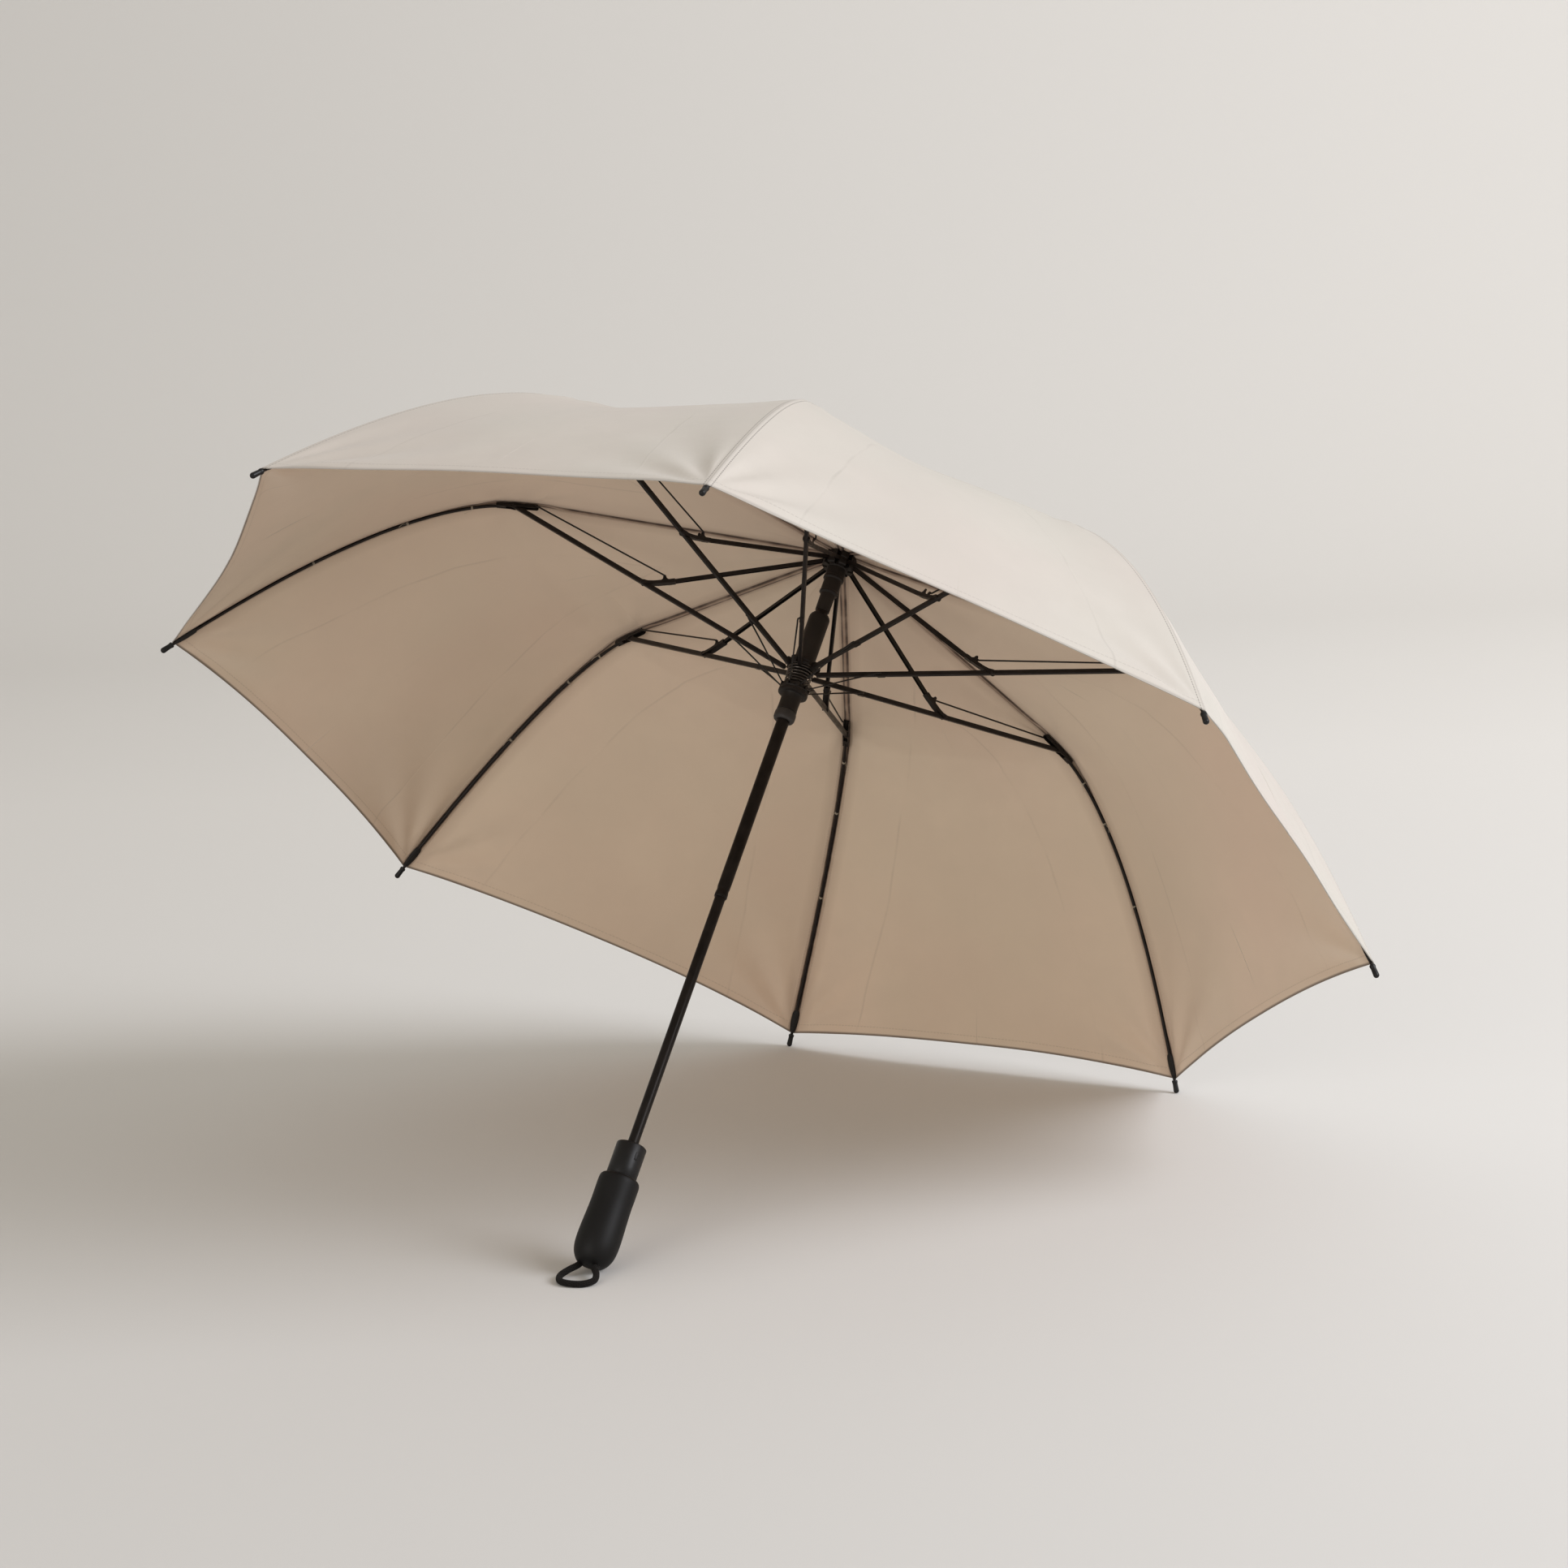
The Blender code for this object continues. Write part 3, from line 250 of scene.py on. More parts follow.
def notched(profile: np.ndarray, floor: float, walls: Pair, first: float) -> Shape:
    """Disc with eight slots: a turned ring whose radius drops to the floor inside a slot.

    Args:
        profile: Rows of (radius, height) round the ring's section.
        floor: Radius that the slots reach in to.
        walls: Distances across from the rib's plane to the slot's two walls.
        first: Azimuth of the first slot.

    Returns:
        The closed shape, in (x, y, up).
    """
    profile = np.vstack([profile, profile[:1]])
    radius = profile[:, :1]
    low, high = (math.asin(wall / radius.max()) for wall in walls)
    edge = 0.002
    marks = [
        [low - edge, low + edge],
        np.linspace(low + 2 * edge, high - 2 * edge, 3),
        [high - edge, high + edge],
        np.linspace(high + 2 * edge, GORE + low - 2 * edge, 8),
    ]
    one = np.concatenate(marks)
    angle = (first + GORE * np.arange(8)[:, None] + one).ravel()
    inside = np.tile((one > low) & (one < high), 8)
    shown = np.where(inside, np.minimum(radius, floor), radius)
    return round_axis(shown, profile[:, 1:], angle)


def swept(path: np.ndarray, radius: np.ndarray | float, sides: int) -> Shape:
    """Round bar along a path: a circle stands square to the path at each point.

    Args:
        path: Points of the centre line.
        radius: One radius, or one for each point.
        sides: Number of sides.

    Returns:
        The closed shape, with corner UVs of (share round it, distance along it).
    """
    tangent = unit(np.gradient(path, axis=0))
    guess = np.eye(3)[1 if abs(tangent[0][1]) < 0.9 else 0]
    normal = np.empty_like(path)
    normal[0] = unit(guess - tangent[0] * (guess @ tangent[0]))
    for n in range(1, len(path)):
        normal[n] = unit(normal[n - 1] - tangent[n] * (normal[n - 1] @ tangent[n]))
    other = np.cross(tangent, normal)
    angle = ROUND * np.arange(sides)[:, None] / sides
    ring = np.cos(angle) * normal[:, None] + np.sin(angle) * other[:, None]
    points = path[:, None] + np.broadcast_to(radius, len(path))[:, None, None] * ring
    step = distances(path)
    row, column = np.divmod(np.arange((len(path) - 1) * sides), sides)
    share = np.stack([column, column + 1, column + 1, column], -1) / sides
    along = np.stack([step[row], step[row], step[row + 1], step[row + 1]], -1)
    uvs = np.stack([share, along], -1).reshape(-1, 2)
    ends = np.repeat([[0.5, 0.0], [0.5, step[-1]]], sides, axis=0)
    return Shape(points.reshape(-1, 3), bar_faces(len(path), sides), np.vstack([uvs, ends]))


def slab(outline: np.ndarray, low: float, high: float) -> Shape:
    """Flat plate in a rib's plane, from its edge (out, up) and its two faces across."""
    points = np.vstack([off_plane(outline, low), off_plane(outline, high)])
    return Shape(points, bar_faces(2, len(outline)))


def channel(
    start: np.ndarray, end: np.ndarray, width: float, depth: float, wall: float, opening: int
) -> Shape:
    """Straight U-shaped bar: its section slides from start to end and tucks in at both.

    Args:
        start: Place (out, up) of the centre line's first end.
        end: Place of its other end.
        width: Size across the rib's plane.
        depth: Size in the rib's plane.
        wall: Thickness of the sheet it is folded from.
        opening: 1 where it is open above, -1 where it is open below.

    Returns:
        The closed shape, in (out, across, up).
    """
    run = unit(end - start)
    rise = np.array([-run[1], run[0]]) * opening
    half, deep, fold = width / 2, depth / 2, wall * 0.8
    left = [
        (-half + wall, -deep + wall), (-half + wall, deep), (-half, deep),
        (-half, -deep + fold), (-half + fold, -deep),
    ]
    section = np.array(left + [(-across, above) for across, above in left[::-1]])
    length = np.linalg.norm(end - start)
    places = np.array([0, wall, 2 * wall, length / 2, length - 2 * wall, length - wall, length])
    tuck = np.array([0.55, 0.86, 1.0, 1.0, 1.0, 0.86, 0.55])
    above = (section[:, 1] * tuck[:, None])[..., None]
    plane = start + places[:, None, None] * run + above * rise
    across = np.tile(section[:, 0], len(places))
    return Shape(off_plane(plane.reshape(-1, 2), across), bar_faces(len(places), len(section)))


@dataclass(frozen=True)
class Linkage:
    """Hinge places and bends of one rib in its own plane, as the solids have them."""

    hub_pivot: Pair = (10.5 * MM, 227.5 * MM)
    top_rib_length: float = 148.7 * MM
    top_rib_dip: float = math.radians(23.9)
    runner_pivot: Pair = (14.5 * MM, 126.8 * MM)
    overhang: float = 128.9 * MM
    start_slope: float = math.radians(11.5)
    end_slope: float = math.radians(54.0)
    tip_radius: float = 500.0 * MM
    tail_length: float = 17.5 * MM
    hook_back: float = 18.0 * MM
    hook_rise: float = 2.0 * MM
    link_joint_from_runner: float = 50.0 * MM
    link_foot: Pair = (11.2 * MM, 111.0 * MM)

    @staticmethod
    def along(angle: float, distance: float) -> np.ndarray:
        """Step (out, up) of a distance at an angle above the outward direction."""
        return distance * np.array([math.cos(angle), math.sin(angle)])

    def axes(self, angle: float) -> tuple[np.ndarray, np.ndarray]:
        """Steps of length one along a bar at an angle, and square to it upwards."""
        return self.along(angle, 1.0), self.along(angle + math.pi / 2, 1.0)

    @property
    def hub(self) -> np.ndarray:
        """Hinge at the hub."""
        return np.array(self.hub_pivot)

    @property
    def runner(self) -> np.ndarray:
        """Hinge at the runner."""
        return np.array(self.runner_pivot)

    @property
    def elbow(self) -> np.ndarray:
        """Hinge between top rib and stretcher."""
        return self.hub + self.along(-self.top_rib_dip, self.top_rib_length)

    @property
    def stretcher_rise(self) -> float:
        """Angle of the stretcher above the outward direction."""
        out, up = self.elbow - self.runner
        return math.atan2(up, out)

    @property
    def knee(self) -> np.ndarray:
        """Hinge between stretcher and outer rib."""
        return self.elbow + self.along(self.stretcher_rise, self.overhang)

    @property
    def tip(self) -> np.ndarray:
        """Outer end of the rib's tip cap."""
        return np.array([self.tip_radius, 0.0])

    @property
    def outer_chord(self) -> float:
        """Straight distance from knee to tip."""
        return float(np.linalg.norm(self.tip - self.knee))

    @property
    def tail(self) -> np.ndarray:
        """Where the control wire meets the outer rib's tail."""
        return self.knee - self.along(-self.start_slope, self.tail_length)

    @property
    def hook(self) -> np.ndarray:
        """Where the control wire meets the top rib."""
        run, rise = self.axes(-self.top_rib_dip)
        return self.elbow - self.hook_back * run + self.hook_rise * rise

    @property
    def link_joint(self) -> np.ndarray:
        """Where the spring link meets the stretcher."""
        return self.runner + self.along(self.stretcher_rise, self.link_joint_from_runner)

    def outer_curve(self, shares: np.ndarray) -> np.ndarray:
        """Points of the bent outer rib: a parabola with set slopes at knee and tip.

        Args:
            shares: Places along it, 0 at the knee and 1 at the tip.

        Returns:
            Places (out, up), one a row.
        """
        chord = self.tip - self.knee
        start, end = self.along(-self.start_slope, 1.0), self.along(-self.end_slope, 1.0)
        crossing = chord[0] * end[1] - chord[1] * end[0]
        bend = self.knee + start * crossing / (start[0] * end[1] - start[1] * end[0])
        u = np.asarray(shares)[:, None]
        return self.knee * (1 - u) ** 2 + bend * 2 * u * (1 - u) + self.tip * u * u


class Stance:
    """Where the upright drawing stands in the frame: read from the solids' own joints."""

    def __init__(self, joints: list[dict], linkage: Linkage) -> None:
        """Find the shaft's axis and each rib's plane.

        Args:
            joints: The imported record's joints.
            linkage: Sizes of a rib.
        """
        by_name = {joint["name"]: joint for joint in joints}
        hinges = [by_name[f"hub_hinge_{n}"] for n in RIB_NUMBERS]
        self.up = unit(np.array(by_name["telescope"]["axis"], float))
        places = np.array([hinge["pos_m"] for hinge in hinges])
        self.base = places.mean(axis=0) - self.up * linkage.hub_pivot[1]
        self.across = unit(np.array([hinge["axis"] for hinge in hinges], float))
        self.outward = np.cross(self.across, self.up)
        self.x = unit(np.array([1.0, 0.0, 0.0]) - self.up * self.up[0])
        self.y = np.cross(self.up, self.x)
        first = self.outward[0]
        self.first_azimuth = math.atan2(first @ self.y, first @ self.x)

    def rib(self, number: int, points: np.ndarray) -> np.ndarray:
        """Frame places of points (out, across, up) drawn in one rib's plane."""
        axes = np.stack([self.outward[number - 1], self.across[number - 1], self.up])
        return self.base + points @ axes

    def shaft(self, points: np.ndarray) -> np.ndarray:
        """Frame places of points (x, y, up) drawn round the shaft."""
        return self.base + points @ np.stack([self.x, self.y, self.up])


def rgba(colour: Triple, scale: float = 1.0) -> Colour:
    """Colour with full cover, scaled."""
    return (colour[0] * scale, colour[1] * scale, colour[2] * scale, 1.0)


class Graph:
    """A material's node tree, with short calls to add and join nodes."""

    def __init__(self, name: str) -> None:
        """Start a material that holds one Principled shader."""
        self.material = bpy.data.materials.new(name)
        self.material.use_nodes = True
        self.tree = self.material.node_tree
        self.shader = self.tree.nodes["Principled BSDF"]

    def add(self, kind: str, inputs: dict, **settings: object) -> bpy.types.Node:
        """Add a node.

        Args:
            kind: Blender's node type.
            inputs: Socket name or number to a value or to another node's output.
            **settings: Attributes of the node itself.

        Returns:
            The new node.
        """
        node = self.tree.nodes.new(kind)
        for key, value in settings.items():
            setattr(node, key, value)
        self.fill(node, inputs)
        return node

    def fill(self, node: bpy.types.Node, inputs: dict) -> None:
        """Give a node's sockets values, or join outputs to them.

        Args:
            node: The node.
            inputs: Socket name or number to a value or to another node's output.
        """
        for key, value in inputs.items():
            if isinstance(value, Socket):
                self.tree.links.new(value, node.inputs[key])
            else:
                node.inputs[key].default_value = value

    def surface(self, tone: Socket, roughness: object, **inputs: object) -> None:
        """Fill the shader's sockets. An underscore stands for a space in their names."""
        named = {key.replace("_", " "): value for key, value in inputs.items()}
        self.fill(self.shader, {"Base Color": tone, "Roughness": roughness, **named})

    def math(self, operation: str, *values: object) -> Socket:
        """Result of a Math node."""
        return self.add("ShaderNodeMath", dict(enumerate(values)), operation=operation).outputs[0]

    def times(self, first: object, second: object) -> Socket:
        """Product of two values."""
        return self.math("MULTIPLY", first, second)

    def plus(self, first: object, second: object) -> Socket:
        """Sum of two values."""
        return self.math("ADD", first, second)

    def coordinates(self, kind: str) -> Socket:
        """Texture coordinates of a kind."""
        return self.add("ShaderNodeTexCoord", {}).outputs[kind]

    def uv(self) -> tuple[Socket, Socket]:
        """The two UV values, each on its own."""
        outputs = self.add("ShaderNodeSeparateXYZ", {0: self.coordinates("UV")}).outputs
        return outputs[0], outputs[1]

    def noise(self, scale: float, detail: float) -> Socket:
        """Noise value from 0 to 1 over the object."""
        inputs = {"Vector": self.coordinates("Object"), "Scale": scale, "Detail": detail}
        return self.add("ShaderNodeTexNoise", inputs).outputs[0]

    def span(self, value: object, source: Pair, to_low: object, to_high: object) -> Socket:
        """Value mapped from one span to another and held at its ends."""
        names = {"Value": value, "From Min": source[0], "From Max": source[1]}
        names |= {"To Min": to_low, "To Max": to_high}
        return self.add("ShaderNodeMapRange", names).outputs[0]

    def line(self, distance: object, centre: float, half: float) -> Socket:
        """Share that is 1 on a line at a set distance and 0 away from it."""
        away = self.math("ABSOLUTE", self.math("SUBTRACT", distance, centre))
        return self.span(away, (half * 0.4, half), 1.0, 0.0)

    def mix(self, share: object, first: object, second: object, blend: str = "MIX") -> Socket:
        """Colour between two, by a share."""
        inputs = {0: share, 6: first, 7: second}
        return self.add("ShaderNodeMix", inputs, data_type="RGBA", blend_type=blend).outputs[2]

    def tinted(self, share: object, tone: Socket, tint: object) -> Socket:
        """Colour multiplied by a tint, by a share."""
        return self.mix(share, tone, self.mix(1.0, tone, tint, "MULTIPLY"))

    def shades(self, value: Socket, source: Pair, colour: Triple, scales: Pair) -> Socket:
        """Colour that runs from one shade to another as a value runs over a span."""
        share = self.span(value, source, 0.0, 1.0)
        return self.mix(share, rgba(colour, scales[0]), rgba(colour, scales[1]))

    def bump(self, height: Socket, strength: float, distance: float) -> None:
        """Let a height roughen the surface's shading."""
        inputs = {"Height": height, "Strength": strength, "Distance": distance}
        self.fill(self.shader, {"Normal": self.add("ShaderNodeBump", inputs).outputs[0]})


@dataclass(frozen=True)
class PaintedMetal:
    """Dark paint on steel: fine orange peel, slightly uneven gloss, brown cast."""

    name: str
    colour: Triple
    roughness: float
    metallic: float
    grain: float = 900.0
    specular: float = 0.4

    def build(self) -> bpy.types.Material:
        """Make the material.

        Returns:
            The finished material.
        """
        graph = Graph(self.name)
        broad = graph.noise(60.0, 3.0)
        tone = graph.shades(broad, (0.35, 0.65), self.colour, (0.8, 1.25))
        gloss = graph.span(broad, (0.3, 0.7), self.roughness - 0.06, self.roughness + 0.08)
        graph.surface(tone, gloss, Metallic=self.metallic, Specular_IOR_Level=self.specular)
        graph.bump(graph.noise(self.grain, 2.0), 0.12, 0.0001)
        return graph.material


@dataclass(frozen=True)
class MouldedPlastic:
    """Moulded plastic: faint spark-eroded texture and a soft edge to its gloss."""

    name: str
    colour: Triple
    roughness: float
    texture: float
    specular: float

    def build(self) -> bpy.types.Material:
        """Make the material.

        Returns:
            The finished material.
        """
        graph = Graph(self.name)
        fine = graph.noise(2600.0, 2.0)
        tone = graph.shades(graph.noise(35.0, 3.0), (0.3, 0.7), self.colour, (0.85, 1.2))
        gloss = graph.span(fine, (0.2, 0.8), self.roughness - 0.05, self.roughness + 0.05)
        graph.surface(tone, gloss, Specular_IOR_Level=self.specular)
        graph.bump(fine, self.texture, 0.00008)
        return graph.material


@dataclass(frozen=True)
class BraidedCord:
    """Round braid: two sets of strands wind round the cord and cross in diamonds."""

    name: str
    colour: Triple
    strands: float = 10.0
    pitch: float = 3.2 * MM

    def build(self) -> bpy.types.Material:
        """Make the material: each set of strands is a sine of the place round and along.

        Returns:
            The finished material.
        """
        graph = Graph(self.name)
        share, distance = graph.uv()
        around = graph.times(share, self.strands)
        along = graph.math("DIVIDE", distance, self.pitch)
        sets = [graph.math(way, around, along) for way in ("ADD", "SUBTRACT")]
        height = graph.math("MAXIMUM", *(graph.math("SINE", graph.times(s, ROUND)) for s in sets))
        # Braid pattern with painted shade and highlight: the colour is darker in the grooves
        # between strands and lighter on their crests.
        tone = graph.shades(height, (-0.2, 1.0), self.colour, (0.45, 1.6))
        graph.surface(tone, 0.8, Specular_IOR_Level=0.15, Sheen_Weight=0.02)
        graph.bump(height, 0.6, 0.0004)
        return graph.material


@dataclass(frozen=True)
class CanopyCloth:
    """Fine plain weave with sewn seams. Its UVs are distances in metres: across from
    the rib's seam, and in from the hem, so that seams keep their true width."""

    name: str
    colour: Triple
    crease_shade: float
    edge_shade: float
    hem_shade: float
    seam_shade: float = 0.35
    stitch_from_seam: float = 4.6 * MM
    welt: float = 2.05 * MM
    stitch_from_hem: float = 8.0 * MM
    stitch_pitch: float = 3.0 * MM
    stitch_width: float = 0.55 * MM
    thread_share: float = 0.72
    pressed: float = 62.0 * MM
    sway: float = 7.0 * MM
    seam_shade_tint: Colour = (0.36, 0.26, 0.21, 1.0)
    drift_tint: Colour = (0.985, 1.03, 1.02, 1.0)
    welt_shadow: Colour = (0.045, 0.028, 0.02, 1.0)

    def stitches(self, graph: Graph, away: Socket, centre: float, along: Socket) -> Socket:
        """Share that is 1 on the threads of a row of stitches at a set distance."""
        place = graph.math("FRACT", graph.math("DIVIDE", along, self.stitch_pitch))
        row = graph.line(away, centre, self.stitch_width)
        return graph.times(row, graph.math("LESS_THAN", place, self.thread_share))

    def build(self) -> bpy.types.Material:
        """Make the material: cloth first, then pressed lines, seams, threads and hem, where the
        pressed lines, the seams' sides and the hem's edge carry painted shade.

        Returns:
            The finished material.
        """
        graph = Graph(self.name)
        across, inward = graph.uv()
        tone = graph.shades(graph.noise(7.0, 5.0), (0.3, 0.7), self.colour, (0.965, 1.03))
        cloudy = graph.span(graph.noise(38.0, 6.0), (0.35, 0.75), 0.0, 0.55)
        tone = graph.mix(cloudy, tone, rgba(self.colour, 0.96))
        drift = graph.span(graph.noise(4.5, 2.0), (0.35, 0.65), 0.0, 1.0)
        tone = graph.tinted(drift, tone, self.drift_tint)
        bent = graph.plus(across, graph.span(graph.noise(9.0, 2.0), (0, 1), -self.sway, self.sway))
        # Painted shade along pressed creases: a faint darker line whose strength varies at random
        # along it.
        press = graph.line(bent, self.pressed, 1.3 * MM)
        press_shade = graph.span(graph.noise(16.0, 2.0), (0.42, 0.6), 0.0, 0.16)
        tone = graph.mix(graph.times(press, press_shade), tone, rgba(self.colour, 0.45))
        crease = graph.times(graph.line(across, 0.0, 1.5 * MM), self.crease_shade)
        tone = graph.mix(crease, tone, rgba(self.colour, 0.6))
        # Painted shade round the seam, inside only: a wide soft warm shade and a stronger one right
        # beside the seam.
        around = graph.span(across, (3.0 * MM, 15.0 * MM), 0.3 * self.edge_shade, 0.0)
        tone = graph.tinted(around, tone, self.seam_shade_tint)
        uneven = graph.span(graph.noise(55.0, 3.0), (0.3, 0.6), 0.55, 1.0)
        beside = graph.times(graph.line(across, 0.0, 5.2 * MM), uneven)
        tone = graph.tinted(graph.times(beside, 0.75 * self.edge_shade), tone, self.seam_shade_tint)
        # Painted shadow: dark lines in the grooves at either side of the seam's raised welt.
        edge = graph.times(graph.line(across, self.welt, 1.15 * MM), uneven)
        tone = graph.mix(graph.times(edge, self.edge_shade), tone, self.welt_shadow)
        seam_row = self.stitches(graph, across, self.stitch_from_seam, inward)
        hem_row = self.stitches(graph, inward, self.stitch_from_hem, across)
        # The fold line is painted shade along the hem's folded edge.
        fold = graph.line(inward, 0.0, 2.6 * MM)
        for share, strength, shade in (
            (seam_row, self.seam_shade, 0.45),
            (hem_row, 0.4, 0.62),
            (fold, self.hem_shade, 0.22),
        ):
            tone = graph.mix(graph.times(share, strength), tone, rgba(self.colour, shade))
        graph.surface(tone, 0.82, Sheen_Weight=0.12, Sheen_Roughness=0.5)
        puckers = graph.times(graph.plus(seam_row, hem_row), -0.5)
        puckers = graph.plus(puckers, graph.times(press, 0.35))
        wrinkles = graph.times(graph.noise(90.0, 3.0), 0.9)
        weave = graph.times(graph.noise(1500.0, 2.0), 0.25)
        graph.bump(graph.plus(weave, graph.plus(wrinkles, puckers)), 0.35, 0.0006)
        return graph.material


@dataclass
class Finishes:
    """Every finish of the umbrella, made once."""

    frame: PaintedMetal = PaintedMetal(
        "frame_paint", (0.014, 0.0105, 0.009), 0.42, 0.35, specular=0.3
    )
    wire: PaintedMetal = PaintedMetal("dark_wire", (0.012, 0.0092, 0.0078), 0.42, 0.3)
    steel: PaintedMetal = PaintedMetal("coil_steel", (0.085, 0.073, 0.065), 0.27, 0.85)
    tube: PaintedMetal = PaintedMetal(
        "tube_paint", (0.0135, 0.0105, 0.009), 0.34, 0.45, 500.0, 0.2
    )
    plastic: MouldedPlastic = MouldedPlastic(
        "black_moulding", (0.0125, 0.0096, 0.008), 0.46, 0.2, 0.25
    )
    lip: MouldedPlastic = MouldedPlastic("grey_moulding", (0.032, 0.028, 0.026), 0.5, 0.2, 0.3)
    collar: MouldedPlastic = MouldedPlastic(
        "gloss_collar", (0.005, 0.0045, 0.0048), 0.42, 0.02, 0.28
    )
    grip: MouldedPlastic = MouldedPlastic("soft_grip", (0.005, 0.0045, 0.0044), 0.52, 0.2, 0.2)
    sleeve: MouldedPlastic = MouldedPlastic("tip_sleeve", (0.012, 0.01, 0.009), 0.6, 0.4, 0.25)
    cord: BraidedCord = BraidedCord("loop_braid", (0.007, 0.0058, 0.0052))
    outside: CanopyCloth = CanopyCloth(
        "cloth_outside", (0.542, 0.491, 0.447), 0.35, 0.0, 0.3, 0.9, 2.7 * MM
    )
    # Painted light: the inside's colour is warmer and lighter than the outside's, standing in for
    # light that passes through the cloth.
    inside: CanopyCloth = CanopyCloth("cloth_inside", (0.695, 0.544, 0.425), 0.2, 0.95, 0.9, 0.25)
    thread: CanopyCloth = CanopyCloth("pale_thread", (0.5, 0.42, 0.33), 0.0, 0.0, 0.0)
    made: dict[str, bpy.types.Material] = field(default_factory=dict)

    def __getitem__(self, name: str) -> bpy.types.Material:
        """The material of a finish, made at its first use."""
        if name not in self.made:
            self.made[name] = getattr(self, name).build()
        return self.made[name]


class Maker:
    """Turns shapes into finished objects that ride on the solids' bodies."""

    def __init__(self, stance: Stance, finishes: Finishes) -> None:
        """Keep what every assembly shares."""
        self.stance = stance
        self.finishes = finishes

    def piece(
        self,
        name: str,
        shape: Shape,
        body: str,
        finish: str | tuple[str, ...],
        slot: Slot,
        replaces: tuple[str, ...] = (),
        sharp: float = 40.0,
        weld: bool = True,
    ) -> bpy.types.Object:
        """Make one object from a shape whose points are already in the frame.

        Args:
            name: Name of the piece.
            shape: Its closed surface.
            body: Body that it moves with.
            finish: Name of its finish, or one for each finish number of the shape.
            slot: Record slot of the piece. Not used.
            replaces: Solids that it stands for.
            sharp: Angle in degrees above which an edge is shaded sharp.
            weld: True to merge points that meet, at poles and closed profiles.

        Returns:
            The finished object.
        """
        mesh = bpy.data.meshes.new(name)
        mesh.from_pydata(shape.points.tolist(), [], shape.faces)
        if shape.uvs is not None:
            layer = mesh.uv_layers.new(name="UVMap")
            layer.data.foreach_set("uv", np.asarray(shape.uvs, np.float32).ravel())
        for each in (finish,) if isinstance(finish, str) else finish:
            mesh.materials.append(self.finishes[each])
        if shape.finishes is not None:
            mesh.polygons.foreach_set("material_index", shape.finishes.astype(np.int32))
        if weld:
            made = bmesh.new()
            made.from_mesh(mesh)
            bmesh.ops.remove_doubles(made, verts=made.verts, dist=1e-6)
            bmesh.ops.dissolve_degenerate(made, edges=made.edges, dist=1e-7)
            bmesh.ops.recalc_face_normals(made, faces=made.faces)
            made.to_mesh(mesh)
            made.free()
        mesh.shade_smooth()
        mesh.set_sharp_from_angle(angle=math.radians(sharp))
        piece = bpy.data.objects.new(name, mesh)
        bpy.context.scene.collection.objects.link(piece)
        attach(piece, body)
        if replaces:
            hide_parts(*replaces)
        LOG.info("%s: %d faces on %s", name, len(mesh.polygons), body)
        return piece

    def rib_piece(
        self, name: str, number: int, shape: Shape, body: str, **options: object
    ) -> bpy.types.Object:
        """Make a piece from a shape drawn in one rib's plane, on a body of that rib."""
        placed = replace(shape, points=self.stance.rib(number, shape.points))
        return self.piece(f"{name}_{number}", placed, body, **options)

    def shaft_piece(self, name: str, shape: Shape, **options: object) -> bpy.types.Object:
        """Make a piece from a shape drawn round the shaft."""
        placed = replace(shape, points=self.stance.shaft(shape.points))
        return self.piece(name, placed, **options)


@dataclass(frozen=True)
class Fan:
    """Small folds that spread from one point of a seam, as pulled cloth has them."""

    height: float
    reach: float
    count: float
    phase: float

    def lift(self, number: int, side: Side, width: np.ndarray, away: np.ndarray) -> np.ndarray:
        """Height of the folds: waves round the point that fade with the distance from it.

        Args:
            number: Rib number.
            side: Side of the rib.
            width: Distances from the seam.
            away: Distances from the point, along the seam.

        Returns:
            A height for each pair of distances.
        """
        distance, angle = np.hypot(width, away), np.arctan2(width, away)
        shift = self.phase + 0.9 * math.sin(2.3 * number + side.value)
        waves = np.cos(self.count * angle + shift) + 0.4 * np.sin(5.0 * angle + number)
        share = distance / self.reach
        fade = smooth_step(2 * share) * np.exp(-(share**1.5))
        free = smooth_step(angle / 0.25) * smooth_step((width - 2.5 * MM) / (6 * MM))
        return self.height * waves * fade * free


